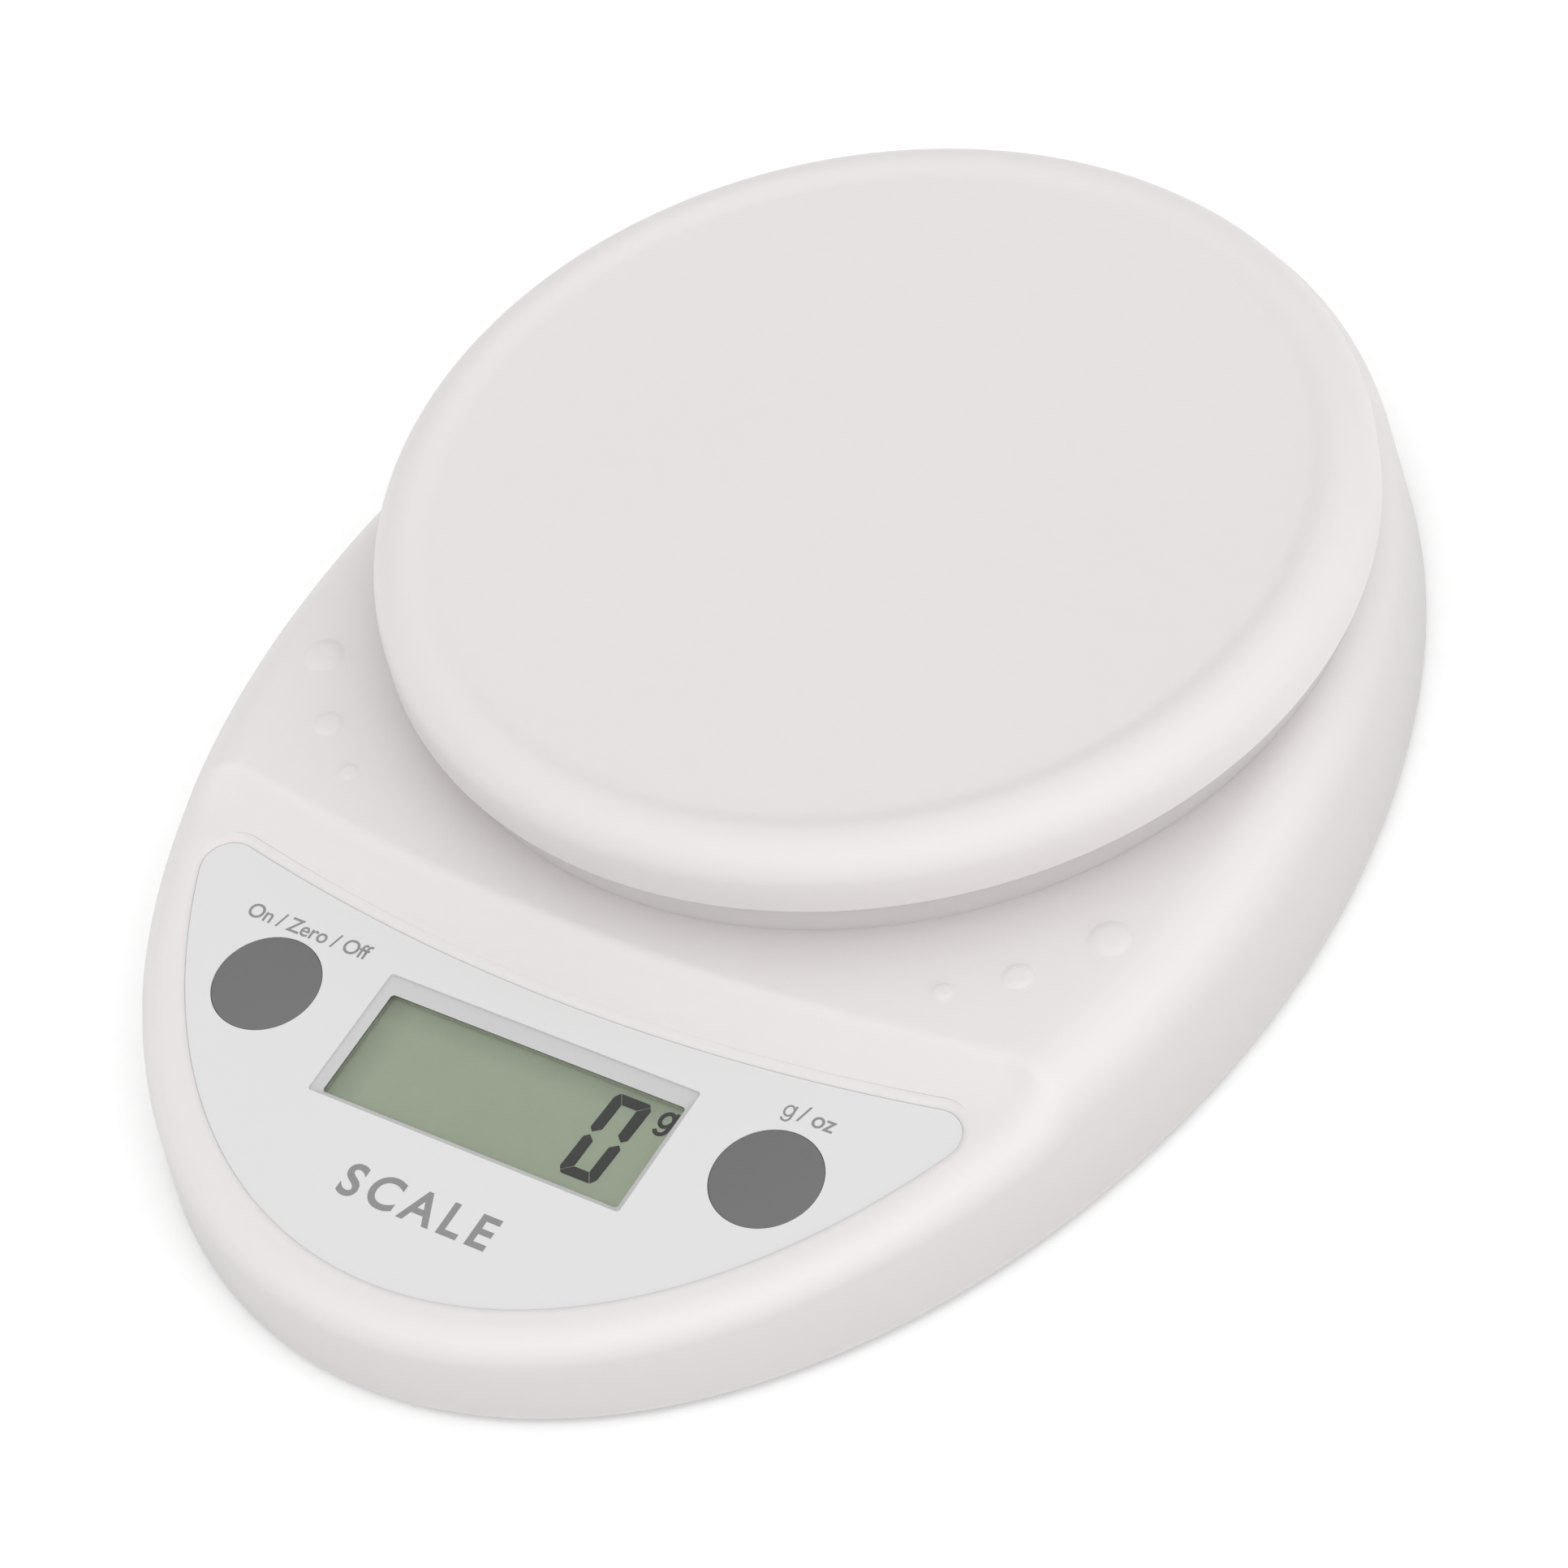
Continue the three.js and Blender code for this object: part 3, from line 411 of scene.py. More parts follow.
def edge_rounding(t):
    """Lean, and the rounding's radius, centre height, centre inset and end angle, along the outline."""
    x, y, nx, ny = outline_frame(t)
    inset = np.full_like(t, 8.0)
    for _ in range(10):
        px, py = x - nx * inset, y - ny * inset
        height = top_height(px, py)
        slope = (top_height(px, py + 0.01) - top_height(px, py - 0.01)) / 0.02
        slope = np.where(np.abs(slope) < 0.2, slope, math.tan(TILT))
        end = math.pi / 2 + np.arctan(slope * ny)
        lean = np.radians(np.interp(height, EDGE_HEIGHTS, EDGE_LEANS))
        radius = np.interp(height, EDGE_HEIGHTS, EDGE_RADII)
        centre_z = height - radius * np.sin(end)
        centre_inset = (centre_z - EDGE_Z) * np.tan(lean) + radius / np.cos(lean)
        inset = centre_inset - radius * np.cos(end)
    return lean, radius, centre_z, centre_inset, end


def spoke_angles(count, ridge_rows):
    """Angles of the outline: evenly spread, with close rows across the ridge and its step."""
    fine = np.linspace(0, math.pi, 2001)
    _, radius, _, centre_inset, end = edge_rounding(fine)
    x, y = inset_points(fine, centre_inset - radius * np.cos(end))
    places = y - RIDGE_BEND * x * x
    wanted = RIDGE_Y + np.linspace(1.2, -STEP_RUN - 0.5, ridge_rows)
    close = np.interp(-wanted, -places, fine)
    even = np.linspace(0, math.pi, count + 1)
    even = even[(even < close[0] - 0.01) | (even > close[-1] + 0.01)]
    return np.sort(np.concatenate([even, close]))


def base_form(name, depth, bottom, spokes, rounding_steps, rung_steps, edge=0.0):
    """The base as one closed body: side wall, its rounding and the upper surface. A depth gives the inner
    face of a wall that thick; edge rounds the lower rim."""
    last = len(spokes) - 1
    size = 2 * last
    lean, radius, centre_z, centre_inset, end = edge_rounding(spokes)
    loops = []

    def add_loop(inset, z):
        x, y = inset_points(spokes, inset)
        z = np.broadcast_to(z, x.shape)
        right = list(zip(x, y, z))
        left = [(-a, b, c) for a, b, c in right[1:last]]
        loops.append(right + left[::-1])

    if edge:
        for angle in np.radians([-90, -60, -30, 0]):
            add_loop(edge - edge * math.cos(angle), bottom + edge + edge * math.sin(angle))
    else:
        add_loop((bottom - EDGE_Z) * np.tan(lean) + depth / np.cos(lean), bottom)
    reach = radius - depth
    for k in range(rounding_steps + 1):
        angle = lean + (end - lean) * k / rounding_steps
        add_loop(centre_inset - reach * np.cos(angle), centre_z + reach * np.sin(angle))
    vertices = [p for loop in loops for p in loop]
    faces = []
    for k in range(len(loops) - 1):
        for i in range(size):
            j = (i + 1) % size
            faces.append((k * size + i, (k + 1) * size + i, (k + 1) * size + j, k * size + j))
    top = (len(loops) - 1) * size
    rungs = []
    for j in range(last + 1):
        xr, yr, _ = vertices[top + j]
        if j in (0, last):
            rungs.append([top + j] * (rung_steps + 1))
            continue
        rung = [top + size - j]
        for k in range(1, rung_steps):
            x = xr * (2 * k / rung_steps - 1)
            y = yr - RIDGE_BEND * (xr * xr - x * x)
            rung.append(len(vertices))
            vertices.append((x, y, float(top_height(x, y)) - depth))
        rungs.append(rung + [top + j])
    for upper, lower in zip(rungs, rungs[1:]):
        for k in range(rung_steps):
            corners = [upper[k], lower[k], lower[k + 1], upper[k + 1]]
            faces.append([c for n, c in enumerate(corners) if c not in corners[:n]])
    faces.append(tuple(range(size)))
    return face_out(new_object(name, vertices, faces))


def film_outline(grow):
    """Outline of the overlay film, grown by a margin: its lower edge follows the base."""

    def edge(x, out):
        lean = math.atan(2 * FILM_BEND * x)
        return x - out * math.sin(lean), FILM_TOP_Y + FILM_BEND * x * x + out * math.cos(lean)

    corner_x, corner_y = edge(FILM_TOP_HALF, -FILM_CORNER)
    side_end = corner_y + FILM_CORNER * math.sin(math.radians(FILM_CORNER_START)) - 0.3
    t = np.linspace(math.pi, math.pi / 2, 90)
    t = t[inset_points(t, FILM_INSET)[1] < side_end]
    side = list(zip(*inset_points(t, FILM_INSET - grow)))
    corner_end = 90 + math.degrees(math.atan(2 * FILM_BEND * FILM_TOP_HALF))
    corner = arc(corner_x, corner_y, FILM_CORNER + grow, FILM_CORNER_START, corner_end, 14)
    top = [edge(x, grow) for x in np.linspace(FILM_TOP_HALF - 2, 0, 24)]
    right = side + corner + top
    return [(float(x), float(y)) for x, y in right + [(-x, y) for x, y in right[1:-1][::-1]]]


def on_film(x, y, z):
    """A point of an upright shape, moved so that z = 0 is the front of the film."""
    return x, y, z + film_height(y)


def film_layers(name, steps):
    """A body of the film's shape through (growth, height) steps."""
    return rings(name, [[on_film(x, y, z) for x, y in film_outline(grow)] for grow, z in steps])


def console_frame(x, y, z):
    """A frame that stands square to the console."""
    return Matrix.Translation(Vector((x, y, z)) * MM) @ Matrix.Rotation(TILT, 4, "X")


def key_matrix(side):
    return console_frame(side * KEY_X, KEY_Y, film_height(KEY_Y))


DISPLAY = console_frame(0, LCD_Y, LCD_Z)


# ------------------------------------------------------------------ materials
def linear(value):
    value /= 255
    return value / 12.92 if value <= 0.04045 else ((value + 0.055) / 1.055) ** 2.4


def colour(red, green, blue):
    """A colour given in screen values."""
    return (linear(red), linear(green), linear(blue), 1)


class Tree:
    """A node tree, with short calls for the nodes used here."""

    def __init__(self, tree):
        self.tree = tree

    def add(self, kind, **inputs):
        node = self.tree.nodes.new(kind)
        for key, value in inputs.items():
            self.put(node.inputs[key.replace("_", " ")], value)
        return node

    def put(self, socket, value):
        if isinstance(value, bpy.types.NodeSocket):
            self.tree.links.new(value, socket)
        else:
            socket.default_value = value

    def maths(self, operation, first, second=0.0):
        node = self.tree.nodes.new("ShaderNodeMath")
        node.operation = operation
        self.put(node.inputs[0], first)
        self.put(node.inputs[1], second)
        return node.outputs[0]


class Nodes(Tree):
    """The node tree of a new material."""

    def __init__(self, name):
        self.material = bpy.data.materials.new(name)
        self.material.use_nodes = True
        super().__init__(self.material.node_tree)
        self.shader = self.tree.nodes["Principled BSDF"]
        self.place = self.add("ShaderNodeTexCoord").outputs["Object"]

    def set(self, **inputs):
        for key, value in inputs.items():
            self.put(self.shader.inputs[key.replace("_", " ")], value)

    def noise(self, size, detail=2, roughness=0.5):
        """Noise with features of a size in millimetres."""
        look = {"Scale": 1 / (size * MM), "Detail": detail, "Roughness": roughness}
        return self.add("ShaderNodeTexNoise", Vector=self.place, **look).outputs["Fac"]

    def ramp(self, factor, low, high, start=0.3, end=0.7):
        limits = {"From_Min": start, "From_Max": end, "To_Min": low, "To_Max": high}
        return self.add("ShaderNodeMapRange", Value=factor, **limits).outputs["Result"]

    def mix(self, factor, first, second, blend="MIX"):
        node = self.tree.nodes.new("ShaderNodeMix")
        node.data_type = "RGBA"
        node.blend_type = blend
        self.put(node.inputs[0], factor)
        self.put(node.inputs[6], first)
        self.put(node.inputs[7], second)
        return node.outputs[2]

    def bump(self, height, distance):
        """A bump whose full height is a distance in millimetres."""
        node = self.add("ShaderNodeBump", Strength=1.0, Distance=distance * MM, Height=height)
        return node.outputs["Normal"]


def scaled(base, factor):
    return tuple(min(1, c * factor) for c in base[:3]) + (1,)


def plastic(name, base, roughness, grain=0.35, depth=0.004, spread=0.012, side_shade=0.0, glow=0.0):
    """Moulded plastic: faint mottling, a fine spark-eroded grain and uneven gloss. Upright faces may get
    painted shade, a deeper tone for the weaker light that falls on them, and light may spread under the skin."""
    nodes = Nodes(name)
    mottle = nodes.noise(40, 3)
    tone = nodes.mix(nodes.ramp(mottle, 0, 1), scaled(base, 1 - spread), scaled(base, 1 + spread))
    # Painted shade: the more upright a face stands, the deeper its tone, for the weaker light that reaches
    # it.
    if side_shade:
        normal = nodes.add("ShaderNodeNewGeometry").outputs["Normal"]
        upward = nodes.add("ShaderNodeSeparateXYZ", Vector=normal).outputs["Z"]
        tone = nodes.mix(nodes.ramp(upward, 0, 1, 0.0, 0.75), scaled(base, 1 - side_shade), tone)
    nodes.set(Base_Color=tone)
    if glow:
        nodes.set(Subsurface_Weight=glow, Subsurface_Radius=(1.0, 0.97, 0.94), Subsurface_Scale=3 * MM)
    nodes.set(Roughness=nodes.ramp(nodes.noise(6, 4), roughness - 0.03, roughness + 0.03))
    nodes.set(Normal=nodes.bump(nodes.noise(grain, 3, 0.6), depth))
    nodes.set(IOR=1.5)
    return nodes.material


def metal(name, base, roughness, stretch=(1, 1, 1), grain=0.25, depth=0.003):
    """Metal with a drawn or milled grain, finest across the stretched axis."""
    nodes = Nodes(name)
    place = nodes.add("ShaderNodeMapping", Vector=nodes.place, Scale=stretch).outputs["Vector"]
    noise = nodes.add("ShaderNodeTexNoise", Vector=place, Scale=1 / (grain * MM), Detail=4.0)
    lines = noise.outputs["Fac"]
    nodes.set(Base_Color=nodes.mix(nodes.ramp(lines, 0, 1), scaled(base, 0.93), scaled(base, 1.05)))
    nodes.set(Metallic=1.0, Roughness=nodes.ramp(lines, roughness - 0.06, roughness + 0.08))
    nodes.set(Normal=nodes.bump(lines, depth))
    return nodes.material


def rubber_material():
    nodes = Nodes("foot_rubber")
    base = colour(196, 194, 191)
    dust = nodes.ramp(nodes.noise(1.6, 5), 0, 1)
    nodes.set(Base_Color=nodes.mix(dust, scaled(base, 0.9), scaled(base, 1.04)), Roughness=0.85)
    nodes.set(Normal=nodes.bump(nodes.noise(0.25, 3), 0.02))
    return nodes.material


def lcd_material():
    """The reflector of the display: grey-green with a fine sparkle, with painted shade along its left and
    back edges where the recess walls shadow it, and painted light on a border under the frame."""
    nodes = Nodes("lcd_reflector")
    base = colour(166, 176, 153)
    speckle = nodes.ramp(nodes.noise(0.22, 2, 0.7), 0, 1)
    cloud_and_shade = nodes.ramp(nodes.noise(9, 2), 0.985, 1.015)
    tint = nodes.mix(speckle, scaled(base, 0.965), scaled(base, 1.035))
    width, depth, middle, _ = LCD_VIEW
    left_edge = -width / 2
    back_edge = LCD_Y + middle + depth / 2
    left_shade, back_shade, lit_border = 4.5, 3.5, 0.15  # widths
    place = nodes.add("ShaderNodeSeparateXYZ", Vector=nodes.place)
    across, along = place.outputs["X"], place.outputs["Y"]
    # Painted shade along the left and back edges, where the walls of the recess cast shadow, and painted
    # light on the thin border under the frame, which lifts the frame's shadow there.
    painted_shading = [
        nodes.ramp(across, 0.74, 1, left_edge * MM, (left_edge + left_shade) * MM),
        nodes.ramp(along, 1, 0.78, (back_edge - back_shade) * MM, back_edge * MM),
        nodes.ramp(across, 1.9, 1, (left_edge - lit_border) * MM, left_edge * MM),
        nodes.ramp(along, 1, 1.9, back_edge * MM, (back_edge + lit_border) * MM),
    ]
    for shade in painted_shading:
        cloud_and_shade = nodes.maths("MULTIPLY", cloud_and_shade, shade)
    grey = nodes.add("ShaderNodeCombineColor", Red=cloud_and_shade, Green=cloud_and_shade, Blue=cloud_and_shade).outputs[0]
    nodes.set(Base_Color=nodes.mix(1, tint, grey, "MULTIPLY"), Roughness=0.55)
    nodes.set(Normal=nodes.bump(nodes.noise(0.2, 2), 0.004))
    return nodes.material


def clear_material():
    """A thin clear sheet: light goes straight through, with a faint reflection that grows at the edges."""
    nodes = Nodes("clear_sheet")
    through = nodes.add("ShaderNodeBsdfTransparent", Color=(0.985, 0.99, 0.985, 1))
    shine = nodes.add("ShaderNodeBsdfGlossy", Roughness=nodes.ramp(nodes.noise(5, 3), 0.08, 0.16))
    fresnel = nodes.add("ShaderNodeFresnel", IOR=1.3)
    mixer = nodes.add("ShaderNodeMixShader")
    for socket, node in zip(mixer.inputs, (fresnel, through, shine)):
        nodes.put(socket, node.outputs[0])
    nodes.put(nodes.tree.nodes["Material Output"].inputs["Surface"], mixer.outputs[0])
    return nodes.material


def board_material():
    """Green solder mask over copper, with a grid of traces and tinned pads."""
    nodes = Nodes("solder_mask")
    mapping = nodes.add("ShaderNodeMapping", Vector=nodes.place, Scale=(1, 1, 0))
    traces = nodes.add("ShaderNodeTexBrick", Vector=mapping.outputs["Vector"], Scale=120.0, Mortar_Size=0.06)
    traces.offset = 0.35
    green = nodes.mix(traces.outputs["Fac"], colour(24, 92, 48), colour(40, 122, 66))
    dots = nodes.add("ShaderNodeTexVoronoi", Vector=mapping.outputs["Vector"], Scale=260.0, Randomness=0.35)
    pads = nodes.ramp(dots.outputs["Distance"], 1, 0, 0.16, 0.2)
    nodes.set(Base_Color=nodes.mix(pads, green, colour(205, 203, 190)), Metallic=pads, Roughness=0.38)
    nodes.set(Normal=nodes.bump(traces.outputs["Fac"], 0.03))
    return nodes.material


def sleeve_material():
    """Printed foil sleeve of a battery: slate blue, with a silver band at each end."""
    nodes = Nodes("battery_sleeve")
    split = nodes.add("ShaderNodeSeparateXYZ", Vector=nodes.place)
    along = nodes.maths("ABSOLUTE", split.outputs["X"])
    band = nodes.ramp(along, 0, 1, 0.0148, 0.0150)
    foil = nodes.noise(1.2, 4)
    dark = nodes.mix(nodes.ramp(foil, 0, 1), colour(84, 104, 122), colour(96, 117, 136))
    light = nodes.mix(nodes.ramp(foil, 0, 1), colour(176, 179, 181), colour(190, 193, 195))
    nodes.set(Base_Color=nodes.mix(band, dark, light), Metallic=0.55)
    nodes.set(Roughness=nodes.ramp(foil, 0.28, 0.4), Normal=nodes.bump(foil, 0.01))
    return nodes.material


def ink_material(name, base):
    """Screen-printed ink: matt, with a slightly uneven lay."""
    nodes = Nodes(name)
    lay = nodes.noise(0.5, 4)
    tone = nodes.mix(nodes.ramp(lay, 0, 1), scaled(base, 0.96), scaled(base, 1.04))
    nodes.set(Base_Color=tone, Roughness=0.6)
    nodes.set(Normal=nodes.bump(lay, 0.003))
    return nodes.material


BODY_COLOUR = colour(216.8, 213.2, 212.4)
MATERIALS = {
    # side_shade is the painted shade on the upright faces of the body and the platform.
    "body": plastic("body_plastic", BODY_COLOUR, 0.42, spread=0.003, side_shade=0.18, glow=0.3),
    "pan": plastic("platform_plastic", scaled(BODY_COLOUR, 0.985), 0.42, spread=0.003, side_shade=0.03, glow=0.3),
    "film": plastic("film_sheet", colour(210.5, 210.6, 210.6), 0.4, grain=0.6, depth=0.002, spread=0.003),
    "frame": plastic("frame_plastic", colour(189, 189, 189), 0.5, spread=0.004),
    "key": plastic("key_plastic", colour(102, 102, 102), 0.55, grain=0.5, depth=0.003, spread=0.01),
    "black": plastic("black_plastic", colour(40, 40, 42), 0.5, depth=0.006, spread=0.05),
    "epoxy": plastic("cast_epoxy", colour(24, 24, 26), 0.25, grain=2.5, depth=0.03, spread=0.1),
    "sealant": plastic("white_sealant", colour(236, 236, 230), 0.55, grain=2, depth=0.05, spread=0.02),
    "red": plastic("red_insulation", colour(168, 34, 28), 0.4, spread=0.04),
    "dark": plastic("black_insulation", colour(28, 28, 30), 0.4, spread=0.06),
    "elastomer": plastic("elastomer", colour(58, 60, 66), 0.7, grain=0.3, depth=0.02, spread=0.1),
    "rubber": rubber_material(),
    "lcd": lcd_material(),
    "segment": ink_material("lcd_segment", colour(26, 28, 23)),
    "ink": ink_material("grey_ink", colour(132, 132, 132)),
    "clear": clear_material(),
    "board": board_material(),
    "sleeve": sleeve_material(),
    "aluminium": metal("milled_aluminium", colour(205, 207, 210), 0.34, stretch=(0.06, 1, 1)),
    "steel": metal("nickel_steel", colour(208, 206, 200), 0.26),
    "zinc": metal("zinc_screw", colour(190, 190, 186), 0.3, grain=0.15),
}


# ------------------------------------------------------------------ housing
def collar_profile():
    rounding = arc(COLLAR_R - 1, COLLAR_Z - 1, 1, 0, 90, 5)
    return [(0, 12), (COLLAR_R, 12)] + rounding + [(0, COLLAR_Z)]


def make_dot(x, y, radius):
    """A soft swelling of the deck, nearly flat on top, which runs out level at its edge."""
    height, reach = 0.13 * radius, 1.08 * radius
    parts = [i / 16 for i in range(16, -1, -1)]
    swell = [(reach * part, height * (0.5 + 0.5 * math.cos(math.pi * part**2.4))) for part in parts]
    dot = turned("dot", [(0, -0.3), (reach, -0.3)] + swell, 48)
    for vertex in dot.data.vertices:
        vertex.co.z += (deck_height(y + vertex.co.y / MM) - 0.01) * MM
    return placed(dot, Matrix.Translation(Vector((x, y, 0)) * MM))


def make_boss(x, y):
    in_collar = math.hypot(x, y - PLATFORM_Y) < COLLAR_R
    top = COLLAR_Z - WALL / 2 if in_collar else float(top_height(x, y)) - WALL / 2
    return bar("boss", BOSS_R, x, y, COVER_TOP + 0.2, top)


def key_hole(side, radius):
    return placed(bar("key_hole", radius, 0, 0, -8, 5, 96), key_matrix(side))


def make_housing():
    spokes = spoke_angles(170, 17)
    housing = base_form("housing_shell", 0, EDGE_Z, spokes, 12, 44, edge=0.12)
    inside = base_form("inside", WALL, -4, spoke_angles(60, 5), 4, 12)
    join(housing, turned("collar", collar_profile(), 240, (0, PLATFORM_Y)))
    cut(housing, inside, bar("hollow", COLLAR_R - WALL, 0, PLATFORM_Y, 0, COLLAR_Z - WALL, 120))
    posts = [placed(bar("post", 2.5, x, y, -5.9, 0.6), DISPLAY) for x, y in BOARD_POSTS]
    dots = [make_dot(side * x, y, radius) for x, y, radius in DOTS for side in (-1, 1)]
    join(housing, *dots, *posts, *[make_boss(x, y) for x, y in BOSSES])
    middle, width, depth = LEAD_HOLE
    front, back = PLATFORM_Y - depth / 2, PLATFORM_Y + depth / 2
    slot = block("slot", middle - width / 2, middle + width / 2, front, back, 20, 40)
    lip = [(0.02, 0.04), (0.14, 0.16), (0.4, 0.31), (0.8, 0.42), (1.4, 0.475), (1.5, 1.5)]
    pocket = film_layers("pocket", [(0.02, -FILM_THICK - FILM_SEAT)] + lip)
    opening_size = [side + 2 * FRAME_GAP for side in FRAME_BLOCK]
    opening = placed(pad("opening", *opening_size, -6, 9), DISPLAY)
    pilots = [bar("pilot", 1.5, x, y, 0, 12.5, 24) for x, y in BOSSES]
    board_pilots = [placed(bar("pilot", 1.1, x, y, -8, -1.5, 24), DISPLAY) for x, y in BOARD_POSTS]
    key_holes = [key_hole(side, KEY_HOLE_R + 0.1) for side in (-1, 1)]
    cut(housing, slot, pocket, opening, *pilots, *board_pilots, *key_holes)
    return finish(housing, "body", "base", ["upper_housing"], 25)


def make_film():
    film = film_layers("overlay_sheet", [(0, -FILM_THICK), (0, -0.02), (-0.03, 0)])
    window = rounded_box("window", (*RECESS, -6), (*RECESS, 9), 0.5)
    cut(film, placed(window, DISPLAY), *[key_hole(side, KEY_R + 0.04) for side in (-1, 1)])
    return finish(film, "film", "base", ["overlay_film"], 25)


# ------------------------------------------------------------------ keys and display
def make_key(side):
    name = "left" if side < 0 else "right"
    edge = arc(KEY_R - 0.2, -0.2, 0.2, 0, 90, 4)
    cap = [(0, -1.5), (KEY_R, -1.5)] + edge + [(0, 0)]
    key = turned(f"{name}_key_cap", cap, 128)
    flange = bar("flange", KEY_R + 1.1, 0, 0, -3.3, -2.5, 96)
    core = bar("core", KEY_R - 1, 0, 0, -2.6, -1.4, 96)
    stem = bar("stem", 2.2, 0, 0, -3.8, -3.2, 48)
    placed(join(key, flange, core, stem), key_matrix(side))
    return finish(key, "key", f"{name}_key", [f"{name}_key"], 25)


def display_plate(name, outlines, low, high):
    """Flat figures on the display, each from its own outline, as one piece."""
    figures = [plate(name, points, low, high) for points in outlines]
    return placed(merged(name, figures), DISPLAY)


DIGIT_WIDTH = 5.67
DIGIT_HEIGHT = 13.52
DIGIT_STROKE = 1.55
DIGIT_SLANT = 0.0625
DIGIT_PLACE = (12.17, -6.57)  # lower left corner, from the middle of the display


def digit_segments():
    """The six outer segments of a seven-segment figure: a nought with cut corners."""
    w, h, s = DIGIT_WIDTH, DIGIT_HEIGHT, DIGIT_STROKE
    mid = h / 2
    top = [(0.66, h), (w - 0.68, h), (w - 0.39, h - 0.33), (w - 1.78, h - 1.48), (s + 0.11, h - 1.48)]
    left = [(0.54, h - 0.02), (0, h - 0.8), (0, mid + 0.8), (0.56, mid + 0.22)]
    left += [(s + 0.05, mid + 1.03), (s + 0.05, h - s)]
    right = [(w - 0.34, h - 0.45), (w, h - 0.85), (w, mid + 0.8), (w - 0.67, mid + 0.24)]
    right += [(w - s - 0.05, mid + 1), (w - s - 0.15, h - s - 0.05)]
    spin = [[(w - x, h - y) for x, y in points] for points in (top, left, right)]
    x0, y0 = DIGIT_PLACE
    return [[(x0 + x + y * DIGIT_SLANT, y0 + y) for x, y in points] for points in (top, left, right, *spin)]


def text_mesh(name, words, size, centre, material, place, slot, bold=0.0, spacing=1.0):
    """Flat lettering of a cap height in millimetres; place(x, y) gives each point's place in millimetres."""
    curve = bpy.data.curves.new(name, "FONT")
    curve.body = words
    curve.align_x = "CENTER"
    curve.resolution_u = 6
    curve.offset = bold
    curve.space_character = spacing
    holder = in_scene(name, curve)
    graph = bpy.context.evaluated_depsgraph_get()
    mesh = bpy.data.meshes.new_from_object(holder.evaluated_get(graph))
    bpy.data.objects.remove(holder)
    cap = 0.73  # cap height of the built-in font at size 1
    for vertex in mesh.vertices:
        x = centre[0] + vertex.co.x * size / cap
        y = centre[1] + vertex.co.y * size / cap
        vertex.co = Vector(place(x, y)) * MM
    return finish(in_scene(name, mesh), material, "base", ())


def stroke(name, path, width, thick):
    """A flat band of one width along an open path."""
    points = [Vector(point) for point in path]
    sides = ([], [])
    for i, point in enumerate(points):
        way = (points[min(i + 1, len(points) - 1)] - points[max(i - 1, 0)]).normalized()
        aside = Vector((-way.y, way.x)) * width / 2
        sides[0].append(tuple(point + aside))
        sides[1].append(tuple(point - aside))
    return plate(name, sides[1] + sides[0][::-1], 0, thick)


def letter_g(name, x, y, size, width, material, place, slot):
    """A flat letter g whose bowl is `size` high; x and y are the lower left corner of the bowl."""
    stem = 0.86 * size - width / 2
    reach_x, reach_y = 0.42 * size - width / 2, 0.49 * size - width / 2
    turns = [math.radians(15 + 330 * i / 32) for i in range(33)]
    bowl = [(width / 2 + reach_x * (1 + math.cos(a)), 0.49 * size + reach_y * math.sin(a)) for a in turns]
    hook = [(stem, size), (stem, 0.5 * size)]
    for i in range(15):
        turn = math.radians(155 * i / 14)
        hook.append((stem - reach_x * (1 - math.cos(turn)), 0.02 * size - 0.36 * size * math.sin(turn)))
    letter = join(stroke(name, hook, width, 0.02), stroke("bowl", bowl, width, 0.02))
    for vertex in letter.data.vertices:
        at = vertex.co / MM
        vertex.co = (Vector(place(x + at.x, y + at.y)) + Vector((0, 0, at.z))) * MM
    return finish(letter, material, "base", ())


def on_label(x, y):
    return on_film(x, y, 0.012)


def on_display(x, y):
    point = DISPLAY @ (Vector((x + DIGIT_SLANT * y, y, -0.09)) * MM)
    return tuple(point / MM)


def make_display_frame():
    """The frame round the display; its sloping inner faces are the walls of the recess."""
    top = FILM_LEVEL - FILM_THICK - 0.02
    ring = pad("display_surround", *FRAME_BLOCK, FRAME_LOW, top)
    join(ring, pad("flange", *FRAME_FLANGE, FRAME_LOW, -1))
    seat = pad("seat", LCD_SIZE[0] + 0.6, LCD_SIZE[1] + 0.6, FRAME_LOW - 1, LCD_VIEW[3] + 0.05)
    mouth = rounded_box("mouth", LCD_VIEW, (*RECESS, top), 0.5)
    above = rounded_box("above", (*RECESS, top - 0.01), (*RECESS, 9), 0.5)
    cut(ring, seat, mouth, above)
    return finish(placed(ring, DISPLAY), "frame", "base", ["display_frame"], 30)


def make_display():
    body = pad("lcd_cell", *LCD_SIZE, -LCD_THICK, -0.14)
    finish(placed(body, DISPLAY), "lcd", "base", ["lcd_panel"])
    segments = display_plate("lcd_digit", digit_segments(), -0.12, -0.06)
    finish(segments, "segment", "base", ())
    make_display_frame()
    repaint("display_window", "clear")
    letter_g("unit_sign", 19.85, 4.4, 2.75, 0.58, "segment", on_display, "lcd_glass")


def make_labels():
    style = ("ink", on_label, "key_plastic")
    text_mesh("left_key_label", "On / Zero / Off", 2.3, (-38.6, -59.0), *style, 0.012, 0.97)
    letter_g("right_key_letter", 35.5, -58.2, 1.85, 0.27, *style)
    text_mesh("right_key_label", "/ oz", 2.6, (40.45, -58.2), *style, 0.01, 0.97)
    text_mesh("name_label", "SCALE", 5.0, (-0.3, -91.2), *style, 0.022, 1.3)


